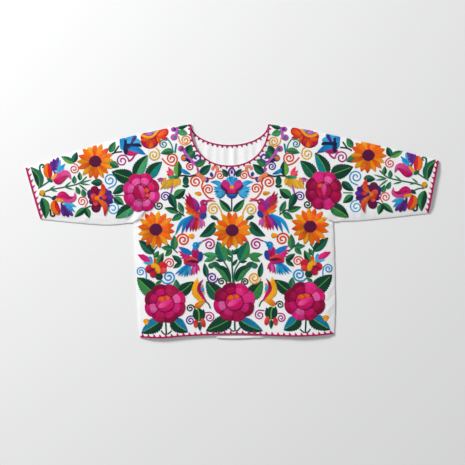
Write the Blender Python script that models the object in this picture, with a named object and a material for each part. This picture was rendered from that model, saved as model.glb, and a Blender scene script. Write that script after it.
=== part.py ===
"""Embroidered cotton huipil blouse, laid out flat with its front up.

Metres, +Z up. The neck is towards +Y and the sleeves reach along X. The back
panel lies on the surface, the front panel lies on the back panel, and each
sleeve is one cloth folded along its top, so it lies as a flattened tube. The
worked edgings lie on the cloth at the neck, the hem and the cuffs. The origin
is the middle of the blouse's extent, on the surface that it lies on.
"""

import math
from collections import namedtuple

import bmesh
import bpy
import numpy as np
from mathutils import Vector
from mathutils.geometry import delaunay_2d_cdt

# Cloth and stitching.
CLOTH = 0.0015
SEAM_GAP = 0.0003
EDGING = 0.0010
FOLD_ROUND = 0.0012

# Spacing of the points that the cloth is drawn through.
GRID = 0.026
EDGE_STEP = 0.017
EDGE_MARGIN = 0.009

# The neckline is two arcs from shoulder to shoulder.
NECK_CENTRE_X = -0.0075
NECK_HALF_WIDTH = 0.1065
NECK_TOP_Y = 0.2985
FRONT_NECK_DEPTH = 0.115
BACK_NECK_DEPTH = 0.058
FRONT_NECK_FULLNESS = 2.2
BACK_NECK_FULLNESS = 2.0

# The armhole runs straight down from the shoulder, then out to the underarm.
ARMHOLE_STRAIGHT_END_Y = 0.100

# How each half of the blouse lies. Points are (x, y), going out from the neck,
# round the sleeve and down the side seam to the hem.
Half = namedtuple(
    "Half",
    "name armhole_x shoulder_end sleeve_bend cuff_top cuff_bottom sleeve_under underarm "
    "side_upper side_lower hem_corner",
)
LEFT = Half(
    name="left",
    armhole_x=-0.2306,
    shoulder_end=(-0.2306, 0.2758),
    sleeve_bend=(-0.3830, 0.2375),
    cuff_top=(-0.5724, 0.1771),
    cuff_bottom=(-0.5311, 0.0353),
    sleeve_under=(-0.3600, 0.0200),
    underarm=(-0.2735, 0.0262),
    side_upper=(-0.2690, -0.0800),
    side_lower=(-0.2630, -0.2000),
    hem_corner=(-0.2555, -0.2925),
)
RIGHT = Half(
    name="right",
    armhole_x=0.2375,
    shoulder_end=(0.2375, 0.2770),
    sleeve_bend=(0.4093, 0.2395),
    cuff_top=(0.5727, 0.1987),
    cuff_bottom=(0.5439, 0.0503),
    sleeve_under=(0.3700, 0.0315),
    underarm=(0.2791, 0.0270),
    side_upper=(0.2830, -0.0900),
    side_lower=(0.2846, -0.2100),
    hem_corner=(0.2819, -0.2832),
)

# The hems wave a little as they lie: x and y of each bend between the corners.
HemBend = namedtuple("HemBend", "x y")
FRONT_HEM = (
    HemBend(-0.1950, -0.2948),
    HemBend(-0.1200, -0.2890),
    HemBend(0.0100, -0.2846),
    HemBend(0.1500, -0.2898),
    HemBend(0.2200, -0.2888),
)
BACK_HEM = (
    HemBend(-0.1000, -0.2905),
    HemBend(0.0050, -0.2945),
    HemBend(0.1100, -0.2892),
)

# How the front stands off the back: level over most of the blouse, down on the
# back along every closed edge, and lifted in places along the open hem.
PUFF = 0.0019
PUFF_REACH = 0.022
PUFF_LEAST = 0.00005

Swell = namedtuple("Swell", "x y height reach_x reach_y")
SWELLS = (
    Swell(-0.185, -0.290, 0.0016, 0.060, 0.055),
    Swell(0.195, -0.285, 0.0018, 0.070, 0.060),
    Swell(-0.120, 0.030, 0.0007, 0.080, 0.090),
    Swell(0.130, -0.060, 0.0008, 0.070, 0.120),
    Swell(-0.520, 0.110, 0.0010, 0.050, 0.060),
    Swell(0.530, 0.125, 0.0012, 0.045, 0.070),
)

# Folds in the front layer: a soft ridge, or a trough where the height is
# negative, from one end to the other.
Fold = namedtuple("Fold", "x1 y1 x2 y2 height width")
FRONT_FOLDS = (
    Fold(-0.262, 0.030, -0.196, 0.066, -0.0015, 0.009),
    Fold(-0.290, 0.030, -0.222, 0.092, 0.0016, 0.010),
    Fold(-0.330, 0.036, -0.256, 0.112, 0.0012, 0.011),
    Fold(0.268, 0.034, 0.206, 0.070, -0.0015, 0.009),
    Fold(0.290, 0.030, 0.226, 0.092, 0.0016, 0.010),
    Fold(0.364, 0.036, 0.338, 0.092, 0.0013, 0.010),
    Fold(-0.500, 0.044, -0.300, 0.036, -0.0014, 0.007),
    Fold(0.262, -0.020, 0.268, -0.250, 0.0013, 0.012),
    Fold(0.222, -0.216, 0.276, -0.132, -0.0012, 0.010),
    Fold(-0.248, -0.060, -0.244, -0.250, 0.0011, 0.012),
    Fold(-0.066, 0.060, -0.050, -0.110, -0.0009, 0.016),
    Fold(0.095, 0.090, 0.070, -0.060, -0.0009, 0.016),
    Fold(-0.440, 0.190, -0.330, 0.120, 0.0009, 0.018),
    Fold(0.452, 0.196, 0.350, 0.130, 0.0009, 0.018),
)

# The cloth has points of its own along each fold: how far apart they are, and
# how far out from the crest, both counted in the fold's width.
FOLD_STEP = 2.2
FOLD_ROWS = (-1.7, -0.8, 0.0, 0.8, 1.7)
FINE_GAP = 0.0055

# Gathers in the back, hanging from its neckline: where each starts, how far it
# leans over its length, its height and its half width.
Gather = namedtuple("Gather", "x lean height width")
BACK_GATHERS = (
    Gather(-0.078, -0.014, 0.0018, 0.0075),
    Gather(-0.056, -0.014, 0.0020, 0.0070),
    Gather(-0.029, -0.006, 0.0017, 0.0100),
    Gather(0.003, 0.000, 0.0026, 0.0080),
    Gather(0.027, -0.008, 0.0019, 0.0075),
    Gather(0.048, -0.010, 0.0018, 0.0085),
    Gather(0.072, 0.006, 0.0016, 0.0085),
)
GATHER_LENGTH = 0.105
GATHER_STEP = 0.009

# The worked edging: a plain line along the edge, and points that stand in from
# it with a hollow between each two.
Edging = namedtuple("Edging", "line point pitch")
NECK_EDGING = Edging(line=0.0038, point=0.0062, pitch=0.0146)
HEM_EDGING = Edging(line=0.0036, point=0.0078, pitch=0.0156)
CUFF_EDGING = Edging(line=0.0045, point=0.0075, pitch=0.0150)
POINT_SHARPNESS = 1.5
POINT_SHARES = (0.0, 0.14, 0.32, 0.5, 0.68, 0.86)
EDGING_INSET = 0.0005
EDGING_END = 0.0010

# Where the front covers the ends of the back's edging, it rides over them: the
# width that it clears in full, and the width that it comes down over.
OVER_EDGING = 0.016
OVER_EDGING_EASE = 0.022

COTTON = ("white_cotton", (0.90, 0.90, 0.89), 0.85)
FUCHSIA = ("fuchsia_thread", (0.62, 0.02, 0.20), 0.60)


def smooth_step(t):
    t = np.clip(t, 0.0, 1.0)
    return t * t * (3.0 - 2.0 * t)


def curve_through(points, step=EDGE_STEP):
    """A smooth line through the points, with its own points about step apart."""
    p = np.array(points, float)
    ends = np.vstack([2 * p[0] - p[1], p, 2 * p[-1] - p[-2]])
    t = np.linspace(0, 1, 24, endpoint=False)[:, None]
    spans = []
    for a, b, c, d in zip(ends, ends[1:], ends[2:], ends[3:]):
        bend = 2 * a - 5 * b + 4 * c - d
        twist = 3 * (b - c) + d - a
        spans.append(0.5 * (2 * b + (c - a) * t + bend * t**2 + twist * t**3))
    return evenly(np.vstack([*spans, p[-1:]]), step)


def lengths_along(line):
    return np.concatenate([[0], np.cumsum(np.linalg.norm(np.diff(line, axis=0), axis=1))])


def at_lengths(line, wanted):
    along = lengths_along(line)
    return np.stack([np.interp(wanted, along, line[:, k]) for k in range(2)], axis=1)


def evenly(line, step):
    total = lengths_along(line)[-1]
    return at_lengths(line, np.linspace(0, total, max(2, round(total / step) + 1)))


def joined(*lines):
    """One line from several that start where the one before ends."""
    return np.vstack([lines[0], *(line[1:] for line in lines[1:])])


def neckline(depth, fullness, step):
    """From the left shoulder, down and up to the right shoulder."""
    turn = np.linspace(math.pi, 0.0, 241)
    x = np.sign(np.cos(turn)) * np.abs(np.cos(turn)) ** (2 / fullness)
    y = np.sin(turn) ** (2 / fullness)
    line = np.stack([NECK_CENTRE_X + NECK_HALF_WIDTH * x, NECK_TOP_Y - depth * y], axis=1)
    return evenly(line, step)


def neck_point(half):
    side = -1 if half is LEFT else 1
    return (NECK_CENTRE_X + side * NECK_HALF_WIDTH, NECK_TOP_Y)


def shoulder_line(half):
    """The whole top edge, from the neck to the cuff, and how much of it is body."""
    line = curve_through([neck_point(half), half.shoulder_end, half.sleeve_bend, half.cuff_top])
    split = int(np.abs(line[:, 0] - half.armhole_x).argmin())
    line[split] = half.shoulder_end
    return line[: split + 1], line[split:]


def armhole(half):
    """From the shoulder down to the underarm: straight, then a quarter ellipse."""
    straight = np.array([half.shoulder_end, (half.armhole_x, ARMHOLE_STRAIGHT_END_Y)], float)
    turn = np.linspace(0, math.pi / 2, 40)
    out = half.underarm[0] - half.armhole_x
    down = ARMHOLE_STRAIGHT_END_Y - half.underarm[1]
    x = half.armhole_x + out * (1 - np.cos(turn))
    y = ARMHOLE_STRAIGHT_END_Y - down * np.sin(turn)
    return evenly(joined(straight, np.stack([x, y], axis=1)), EDGE_STEP)


def side_seam(half):
    return curve_through([half.underarm, half.side_upper, half.side_lower, half.hem_corner])


def sleeve_seam(half):
    return curve_through([half.cuff_bottom, half.sleeve_under, half.underarm])


def hem(bends):
    """From the left corner to the right one."""
    return curve_through([LEFT.hem_corner, *bends, RIGHT.hem_corner], EDGE_STEP)


def away_from(points, lines):
    """How far each point is from the nearest of the lines."""
    best = np.full(len(points), np.inf)
    for line in lines:
        for a, b in zip(line, line[1:]):
            d = b - a
            t = np.clip(((points - a) @ d) / max(d @ d, 1e-12), 0, 1)
            best = np.minimum(best, np.linalg.norm(points - a - t[:, None] * d, axis=1))
    return best


def inside(points, loop):
    """Whether each point lies in the closed loop."""
    found = np.zeros(len(points), bool)
    for (x1, y1), (x2, y2) in zip(loop, np.roll(loop, -1, axis=0)):
        crosses = (y1 > points[:, 1]) != (y2 > points[:, 1])
        with np.errstate(divide="ignore", invalid="ignore"):
            at = x1 + (points[:, 1] - y1) * (x2 - x1) / (y2 - y1)
        found ^= crosses & (points[:, 0] < at)
    return found


def closed_edges():
    """Every edge where the front is joined to the back."""
    lines = []
    for half in (LEFT, RIGHT):
        lines += [joined(*shoulder_line(half)), side_seam(half), sleeve_seam(half)]
    return lines


def gather_heights(points):
    """The back's gathers, which fade out down the panel."""
    x, y = points.T
    across = np.clip((x - NECK_CENTRE_X) / NECK_HALF_WIDTH, -1, 1)
    start = NECK_TOP_Y - BACK_NECK_DEPTH * np.sqrt(1 - across**2)
    down = (start - y) / GATHER_LENGTH
    fade = 1 - smooth_step(down)
    total = np.zeros(len(points))
    for gather in BACK_GATHERS:
        off = x - gather.x - gather.lean * down
        total += gather.height * fade * np.exp(-((off / gather.width) ** 2))
    return total, fade * max(gather.height for gather in BACK_GATHERS)


def fold_heights(points):
    total = np.zeros(len(points))
    for fold in FRONT_FOLDS:
        a, b = np.array([fold.x1, fold.y1]), np.array([fold.x2, fold.y2])
        d = b - a
        t = ((points - a) @ d) / (d @ d)
        off = np.linalg.norm(points - a - t[:, None] * d, axis=1)
        along = smooth_step(4 * t) * smooth_step(4 * (1 - t))
        total += fold.height * along * np.exp(-((off / fold.width) ** 2))
    for swell in SWELLS:
        dx = (points[:, 0] - swell.x) / swell.reach_x
        dy = (points[:, 1] - swell.y) / swell.reach_y
        total += swell.height * np.exp(-(dx**2) - dy**2)
    return total


def back_top(points):
    return CLOTH + gather_heights(points)[0]


def over_back_edging(points):
    """Room under the front for the two ends of the back's worked edging."""
    line = neckline(BACK_NECK_DEPTH, BACK_NECK_FULLNESS, EDGE_STEP)
    past = (away_from(points, [line]) - OVER_EDGING) / OVER_EDGING_EASE
    return (EDGING + SEAM_GAP) * (1 - smooth_step(past))


def front_bottom(points):
    """The underside of the front layer, which always clears the back."""
    lifted = smooth_step(away_from(points, closed_edges()) / PUFF_REACH)
    stand_off = (PUFF + fold_heights(points)) * lifted
    over_gathers = np.abs(points[:, 0] - NECK_CENTRE_X) < NECK_HALF_WIDTH
    gathers = np.where(over_gathers, gather_heights(points)[1], 0.0) * lifted
    raised = np.maximum(stand_off, PUFF_LEAST) + over_back_edging(points)
    return CLOTH + SEAM_GAP + gathers + raised


def front_top(points):
    return front_bottom(points) + CLOTH


def edging_strip(edge, style, inwards):
    """The loop round a worked edging that lies along an edge of the cloth."""
    edge = at_lengths(edge, np.linspace(EDGING_END, lengths_along(edge)[-1] - EDGING_END, 240))
    total = lengths_along(edge)[-1]
    pitches = round(total / style.pitch)
    shares = [n + share for n in range(pitches) for share in POINT_SHARES] + [pitches]
    along = np.array(shares) * total / pitches
    hollow = np.abs(np.sin(math.pi * np.array(shares)))
    depth = style.line + style.point * (1 - hollow) ** POINT_SHARPNESS
    ahead = at_lengths(edge, np.minimum(along + EDGING_END, total))
    behind = at_lengths(edge, np.maximum(along - EDGING_END, 0))
    tangent = (ahead - behind) / np.linalg.norm(ahead - behind, axis=1)[:, None]
    normal = inwards * np.stack([-tangent[:, 1], tangent[:, 0]], axis=1)
    base = at_lengths(edge, along)
    outer = (base + EDGING_INSET * normal)[:: len(POINT_SHARES) // 2]
    return np.vstack([base + depth[:, None] * normal, outer[::-1]])


def fold_points():
    """Points along the front's folds, at their crests, flanks and feet."""
    found = []
    for fold in FRONT_FOLDS:
        a, b = np.array([fold.x1, fold.y1]), np.array([fold.x2, fold.y2])
        length = np.linalg.norm(b - a)
        across = np.array([a[1] - b[1], b[0] - a[0]]) / length
        for share in np.linspace(0, 1, round(length / (FOLD_STEP * fold.width)) + 1):
            found += [a + share * (b - a) + row * fold.width * across for row in FOLD_ROWS]
    return np.array(found)


def spaced(points, gap):
    """The points, without those that lie closer than the gap to one already kept."""
    kept = []
    for point in points:
        if all(np.hypot(*(point - other)) > gap for other in kept):
            kept.append(point)
    return np.array(kept)


def cut_cloth(loop, strips, finer):
    """Points and triangles that fill a loop, with the strips' outlines among their
    edges and the finer points among their own."""
    low, high = loop.min(0), loop.max(0)
    rows = np.arange(low[1], high[1], GRID * 0.87)
    grid = [
        (x, y)
        for n, y in enumerate(rows)
        for x in np.arange(low[0] + (n % 2) * GRID / 2, high[0], GRID)
    ]
    outlines = [np.vstack([line, line[:1]]) for line in (loop, *strips)]
    finer = finer[inside(finer, loop) & (away_from(finer, outlines) > FINE_GAP)]
    finer = spaced(finer, FINE_GAP)
    filling = np.array(grid)
    keep = inside(filling, loop) & (away_from(filling, outlines) > EDGE_MARGIN)
    keep &= np.array([np.hypot(*(finer - point).T).min() > EDGE_MARGIN for point in filling])
    filling = np.vstack([filling[keep], finer])
    points, edges = [], []
    for line in (loop, *strips):
        first = len(points)
        points += list(line)
        edges += [(first + n, first + (n + 1) % len(line)) for n in range(len(line))]
    points += list(filling)
    flat = [Vector(map(float, p)) for p in points]
    made = delaunay_2d_cdt(flat, edges, [], 0, 1e-6)
    points, faces = np.array([tuple(p) for p in made[0]]), np.array(made[2])
    middles = points[faces].mean(axis=1)
    faces = faces[inside(middles, loop)]
    a, b, c = (points[faces[:, k]] for k in range(3))
    turned = (b[:, 0] - a[:, 0]) * (c[:, 1] - a[:, 1]) < (b[:, 1] - a[:, 1]) * (c[:, 0] - a[:, 0])
    faces[turned] = faces[turned][:, ::-1]
    return points, faces


def rim_edges(faces):
    """The edges that only one triangle uses, each in that triangle's own direction."""
    ends = np.concatenate([faces[:, [0, 1]], faces[:, [1, 2]], faces[:, [2, 0]]])
    once = {}
    for a, b in ends:
        if once.pop((b, a), None) is None:
            once[(a, b)] = True
    return list(once)


def add_object(name, points, faces, finish):
    mesh = bpy.data.meshes.new(name)
    mesh.from_pydata([tuple(map(float, p)) for p in points], [], [tuple(map(int, f)) for f in faces])
    shape = bmesh.new()
    shape.from_mesh(mesh)
    loose = [v for v in shape.verts if not v.link_faces]
    bmesh.ops.delete(shape, geom=loose, context="VERTS")
    bmesh.ops.recalc_face_normals(shape, faces=shape.faces)
    shape.to_mesh(mesh)
    shape.free()
    mesh.shade_smooth()
    mesh.set_sharp_from_angle(angle=math.radians(40))
    mesh.materials.append(finish)
    made = bpy.data.objects.new(name, mesh)
    bpy.context.scene.collection.objects.link(made)
    return made


def add_layer(name, points, faces, low, high, finish):
    """One flat piece of cloth: the same triangles below and above, and a cut edge."""
    count = len(points)
    solid = [(x, y, z) for (x, y), z in zip(points, low)]
    solid += [(x, y, z) for (x, y), z in zip(points, high)]
    skin = [tuple(f[::-1]) for f in faces] + [tuple(f + count) for f in faces]
    skin += [(a, b, b + count, a + count) for a, b in rim_edges(faces)]
    return add_object(name, solid, skin, finish)


def add_tube(name, points, faces, closed, finish):
    """A sleeve: the cloth on top and the cloth below, one wall that turns over at
    both long edges and is open at the armhole and the cuff."""
    rim = rim_edges(faces)
    fold = away_from(points, closed) < 1e-5
    middle = points.mean(0)
    inner = points + np.where(fold, 1.0, 0.0)[:, None] * towards(points, closed, middle, CLOTH)
    shy = points + np.where(fold, 1.0, 0.0)[:, None] * towards(points, closed, middle, FOLD_ROUND)
    top = front_top(points)
    half_way = np.where(fold, top / 2, 0.0)
    count = len(points)
    sheets = [
        np.column_stack([shy, top]),
        np.column_stack([inner, np.where(fold, half_way + SEAM_GAP / 2, top - CLOTH)]),
        np.column_stack([shy, np.zeros(count)]),
        np.column_stack([inner, np.where(fold, half_way - SEAM_GAP / 2, CLOTH)]),
        np.column_stack([points, half_way]),
    ]
    upper, upper_in, lower, lower_in, nose = (n * count for n in range(5))
    skin = [tuple(f + upper) for f in faces] + [tuple(f[::-1] + upper_in) for f in faces]
    skin += [tuple(f[::-1] + lower) for f in faces] + [tuple(f + lower_in) for f in faces]
    for a, b in rim:
        if fold[a] and fold[b]:
            skin.append((a + nose, b + nose, b + upper, a + upper))
            skin.append((a + lower, b + lower, b + nose, a + nose))
            skin.append((a + upper_in, b + upper_in, b + lower_in, a + lower_in))
        else:
            skin.append((a + upper_in, b + upper_in, b + upper, a + upper))
            skin.append((a + lower, b + lower, b + lower_in, a + lower_in))
    for n in corners_of(rim, fold):
        skin.append((n + upper, n + nose, n + lower, n + lower_in, n + upper_in))
    return add_object(name, np.vstack(sheets), skin, finish)


def corners_of(rim, fold):
    """The points where a folded edge meets an open end."""
    uses = {}
    for a, b in rim:
        for n in (a, b):
            uses.setdefault(n, []).append(bool(fold[a] and fold[b]))
    return [n for n, kinds in uses.items() if len(set(kinds)) == 2]


def towards(points, lines, middle, distance):
    """A step of that length from each point into the cloth, square to the nearest line."""
    steps = np.zeros_like(points)
    best = np.full(len(points), np.inf)
    for line in lines:
        for a, b in zip(line, line[1:]):
            d = (b - a) / np.linalg.norm(b - a)
            normal = np.array([-d[1], d[0]])
            normal *= np.sign((middle - a) @ normal)
            off = away_from(points, [np.array([a, b])])
            nearer = off < best
            best[nearer] = off[nearer]
            steps[nearer] = distance * normal
    return steps


def add_edging(name, strip, points, faces, top, finish):
    """A worked edging: the triangles of the cloth that lie in its strip, moved out."""
    own = faces[inside(points[faces].mean(axis=1), strip)]
    low = top(points) + SEAM_GAP
    return add_layer(name, points, own, low, low + EDGING, finish)


def finish_of(name, colour, roughness):
    material = bpy.data.materials.new(name)
    material.use_nodes = True
    surface = material.node_tree.nodes["Principled BSDF"]
    surface.inputs["Base Color"].default_value = (*colour, 1.0)
    surface.inputs["Roughness"].default_value = roughness
    surface.inputs["Metallic"].default_value = 0.0
    return material


def body_loop(neck, bends):
    """The outline of a body panel, from the left hem corner round by the right."""
    bottom = hem(bends)
    right, left = (
        joined(side_seam(half)[::-1], armhole(half)[::-1], shoulder_line(half)[0][::-1])
        for half in (RIGHT, LEFT)
    )
    loop = joined(bottom, right, neck[::-1], left[::-1])[:-1]
    return clear_of_sleeves(loop)


def clear_of_sleeves(loop):
    """The body stops a seam's gap short of each sleeve."""
    moved = loop.copy()
    for half, side in ((LEFT, 1), (RIGHT, -1)):
        near = away_from(loop, [armhole(half)]) < 1e-5
        moved[near, 0] += side * SEAM_GAP
    return moved


def build_front(cotton, thread):
    neck = neckline(FRONT_NECK_DEPTH, FRONT_NECK_FULLNESS, EDGE_STEP / 2)
    neck_strip = edging_strip(neck, NECK_EDGING, -1)
    hem_strip = edging_strip(hem(FRONT_HEM), HEM_EDGING, 1)
    loop = body_loop(neck, FRONT_HEM)
    points, faces = cut_cloth(loop, [neck_strip, hem_strip], fold_points())
    add_layer("front_panel", points, faces, front_bottom(points), front_top(points), cotton)
    add_edging("front_neck_edging", neck_strip, points, faces, front_top, thread)
    add_edging("hem_edging", hem_strip, points, faces, front_top, thread)


def gather_points():
    """Extra points that the gathers below the back neckline are drawn through."""
    x = np.arange(-NECK_HALF_WIDTH + GRID / 2, NECK_HALF_WIDTH - GRID / 2, GATHER_STEP)
    depth = BACK_NECK_DEPTH * np.sqrt(1 - (x / NECK_HALF_WIDTH) ** 2)
    rows = np.arange(2 * GATHER_STEP, GATHER_LENGTH, 2 * GATHER_STEP)
    return np.array([
        (NECK_CENTRE_X + across, NECK_TOP_Y - start - row)
        for across, start in zip(x, depth)
        for row in rows
    ])


def build_back(cotton, thread):
    neck = neckline(BACK_NECK_DEPTH, BACK_NECK_FULLNESS, EDGE_STEP / 2)
    strip = edging_strip(neck, NECK_EDGING, -1)
    points, faces = cut_cloth(body_loop(neck, BACK_HEM), [strip], gather_points())
    add_layer("back_panel", points, faces, back_top(points) - CLOTH, back_top(points), cotton)
    add_edging("back_neck_edging", strip, points, faces, back_top, thread)


def build_sleeve(half, cotton, thread):
    top, under = shoulder_line(half)[1], sleeve_seam(half)
    cuff = evenly(np.array([half.cuff_top, half.cuff_bottom], float), EDGE_STEP)
    loop = joined(top, cuff, under, armhole(half)[::-1])[:-1]
    strip = edging_strip(cuff, CUFF_EDGING, 1 if half is LEFT else -1)
    points, faces = cut_cloth(loop, [strip], fold_points())
    add_tube(f"sleeve_{half.name}", points, faces, [top, under], cotton)
    add_edging(f"cuff_edging_{half.name}", strip, points, faces, front_top, thread)


def main():
    for old in list(bpy.data.objects):
        bpy.data.objects.remove(old)
    cotton, thread = finish_of(*COTTON), finish_of(*FUCHSIA)
    build_front(cotton, thread)
    build_back(cotton, thread)
    for half in (LEFT, RIGHT):
        build_sleeve(half, cotton, thread)


main()
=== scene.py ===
# %% [markdown]
# # An embroidered huipil blouse, laid flat
# The blouse is white cotton, boxy, with wide sleeves, and nearly all of its front
# is covered in satin-stitch flowers, leaves and birds. We start from the packed
# solids, which give every piece its place and size, and then make the cloth, the
# embroidery and the worked edges around them.

# %% Load the solids
import math
from collections import namedtuple

import bmesh
import bpy
import numpy as np
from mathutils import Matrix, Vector
from mathutils.bvhtree import BVHTree
from mathutils.geometry import delaunay_2d_cdt


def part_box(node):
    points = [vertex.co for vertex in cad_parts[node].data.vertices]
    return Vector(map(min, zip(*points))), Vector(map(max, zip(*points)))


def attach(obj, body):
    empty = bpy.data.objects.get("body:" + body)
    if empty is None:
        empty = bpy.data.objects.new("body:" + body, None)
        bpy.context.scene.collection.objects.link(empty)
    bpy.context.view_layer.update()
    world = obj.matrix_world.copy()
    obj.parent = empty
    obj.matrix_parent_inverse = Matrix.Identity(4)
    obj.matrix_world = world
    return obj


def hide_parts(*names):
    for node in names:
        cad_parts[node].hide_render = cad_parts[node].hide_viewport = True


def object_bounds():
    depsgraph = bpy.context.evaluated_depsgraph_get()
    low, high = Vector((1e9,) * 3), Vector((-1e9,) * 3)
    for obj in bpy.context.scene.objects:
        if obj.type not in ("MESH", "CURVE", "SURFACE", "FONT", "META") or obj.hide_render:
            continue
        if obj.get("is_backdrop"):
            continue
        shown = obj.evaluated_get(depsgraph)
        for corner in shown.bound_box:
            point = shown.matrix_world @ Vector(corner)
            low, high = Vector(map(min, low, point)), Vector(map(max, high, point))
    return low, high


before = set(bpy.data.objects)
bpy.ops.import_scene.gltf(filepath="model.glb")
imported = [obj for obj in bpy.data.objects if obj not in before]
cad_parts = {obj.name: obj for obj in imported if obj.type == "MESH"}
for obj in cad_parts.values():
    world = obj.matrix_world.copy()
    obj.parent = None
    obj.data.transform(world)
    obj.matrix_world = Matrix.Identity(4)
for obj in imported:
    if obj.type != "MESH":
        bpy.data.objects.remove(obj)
CAD_LOW, CAD_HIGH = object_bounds()
ROOT = "root"
print("solids:", sorted(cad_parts), "box", tuple(CAD_LOW), tuple(CAD_HIGH))

# %% [markdown]
# ## Where things are
# The photograph looks straight down on the blouse, so one pixel is the same real
# size everywhere on it. The places of the motifs are read off the photograph as
# its columns and rows, and one function turns them into metres. The sizes of the
# things that are sewn are real sizes.

# %% From the photograph's columns and rows to metres
PHOTO_SIZE = 465
BODY_PIXELS = 195.0
BODY_WIDTH = 0.540
PIXEL = BODY_WIDTH / BODY_PIXELS
CENTRE_COLUMN = 232.15
CENTRE_ROW = 231.8
MM = 0.001


def to_metres(places):
    places = np.asarray(places, float)
    return np.stack([places[:, 0] - CENTRE_COLUMN, CENTRE_ROW - places[:, 1]], axis=1) * PIXEL


def to_places(points):
    """The reverse of to_metres."""
    points = np.asarray(points)
    return np.column_stack([points[:, 0] / PIXEL + CENTRE_COLUMN, CENTRE_ROW - points[:, 1] / PIXEL])


def put_in_scene(thing):
    bpy.context.scene.collection.objects.link(thing)
    return thing


print("one pixel is", round(PIXEL / MM, 2), "mm")

# %% [markdown]
# ## Camera, light and floor
# A long lens high above the blouse gives the photograph's view with no visible
# perspective. The light is soft and comes from the upper left: one large panel
# makes the soft shadow at the right and lower edges, and a pale sky fills it in.

# %% Camera
CAMERA_HEIGHT = 3.2
SENSOR = 36.0

camera_data = bpy.data.cameras.new("overhead_camera")
camera_data.sensor_width = SENSOR
camera_data.lens = SENSOR * CAMERA_HEIGHT / (PHOTO_SIZE * PIXEL)
camera = put_in_scene(bpy.data.objects.new("overhead_camera", camera_data))
view_centre = to_metres([(PHOTO_SIZE / 2, PHOTO_SIZE / 2)])[0]
camera.location = (view_centre[0], view_centre[1], CAMERA_HEIGHT)
bpy.context.scene.camera = camera
bpy.context.scene.view_settings.view_transform = "Standard"
print("lens", round(camera_data.lens, 1), "mm")

# %% Light
Panel = namedtuple("Panel", "name place size power colour")
KEY = Panel("key_panel", (-3.4, 3.3, 2.9), 1.4, 338.0, (1.0, 1.0, 0.995))
SKY = (0.98, 0.985, 1.0)
SKY_STRENGTH = 0.43


def light_panel(panel):
    data = bpy.data.lights.new(panel.name, "AREA")
    data.shape = "SQUARE"
    data.size = panel.size
    data.energy = panel.power
    data.color = panel.colour
    lamp = put_in_scene(bpy.data.objects.new(panel.name, data))
    lamp.location = panel.place
    lamp.rotation_euler = (-Vector(panel.place)).to_track_quat("-Z", "Y").to_euler()
    return lamp


light_panel(KEY)
world = bpy.data.worlds.new("pale_sky")
world.use_nodes = True
background = world.node_tree.nodes["Background"]
background.inputs["Color"].default_value = (*SKY, 1.0)
background.inputs["Strength"].default_value = SKY_STRENGTH
bpy.context.scene.world = world
print("light:", KEY.name, "and", world.name)

# %% [markdown]
# ## Shared effects
# Two effects appear in several finishes, so each is a node group that is built
# once: a plain weave for cotton, and the fine lines of stitched thread. A group
# gives out only values that change over the surface, and the shader itself stays
# in each material.

# %% A short way to build node trees


def link_all(tree, links):
    for out, into in links:
        tree.links.new(out, into)


def feed(tree, socket, value):
    """Link a socket to another one, or give it a plain value."""
    if isinstance(value, bpy.types.NodeSocket):
        tree.links.new(value, socket)
    elif value is not None:
        socket.default_value = value


def math_node(tree, operation, a, b=None):
    node = tree.nodes.new("ShaderNodeMath")
    node.operation = operation
    for socket, value in zip(node.inputs, (a, b)):
        feed(tree, socket, value)
    return node.outputs[0]


def noise(tree, place, scale, detail=2.0):
    node = tree.nodes.new("ShaderNodeTexNoise")
    feed(tree, node.inputs["Vector"], place)
    feed(tree, node.inputs["Scale"], scale)
    feed(tree, node.inputs["Detail"], detail)
    return node.outputs["Fac"]


def carried(tree, name):
    """What the mesh carries under this name, as a node's outputs."""
    node = tree.nodes.new("ShaderNodeAttribute")
    node.attribute_name = name
    return node.outputs


def new_group(name, inputs, outputs):
    group = bpy.data.node_groups.new(name, "ShaderNodeTree")
    for label, kind, value in inputs:
        socket = group.interface.new_socket(name=label, in_out="INPUT", socket_type=kind)
        if value is not None:
            socket.default_value = value
    for label, kind in outputs:
        group.interface.new_socket(name=label, in_out="OUTPUT", socket_type=kind)
    return group, group.nodes.new("NodeGroupInput"), group.nodes.new("NodeGroupOutput")


def placed_group(tree, group, **values):
    node = tree.nodes.new("ShaderNodeGroup")
    node.node_tree = group
    for label, value in values.items():
        feed(tree, node.inputs[label.replace("_", " ").capitalize()], value)
    return node


# %% The weave group
SLUBS_PER_METRE = 260.0


def weave_group():
    """Threads that go over and under each other: a height, and a soft unevenness."""
    group, given, result = new_group(
        "plain_weave",
        (("Place", "NodeSocketVector", None), ("Threads per metre", "NodeSocketFloat", 1400.0)),
        (("Height", "NodeSocketFloat"), ("Unevenness", "NodeSocketFloat")),
    )
    apart = group.nodes.new("ShaderNodeSeparateXYZ")
    group.links.new(given.outputs["Place"], apart.inputs[0])
    waves = []
    for axis in (0, 1):
        turned = math_node(group, "MULTIPLY", apart.outputs[axis], given.outputs[1])
        waves.append(math_node(group, "SINE", math_node(group, "MULTIPLY", turned, math.pi)))
    woven = math_node(group, "MULTIPLY", waves[0], waves[1])
    slub = noise(group, given.outputs["Place"], SLUBS_PER_METRE, 3.0)
    group.links.new(woven, result.inputs["Height"])
    group.links.new(slub, result.inputs["Unevenness"])
    return group


WEAVE = weave_group()
print("made", WEAVE.name)

# %% The thread group
STREAK_STRETCH = (0.12, 1.0, 1.0)


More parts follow.
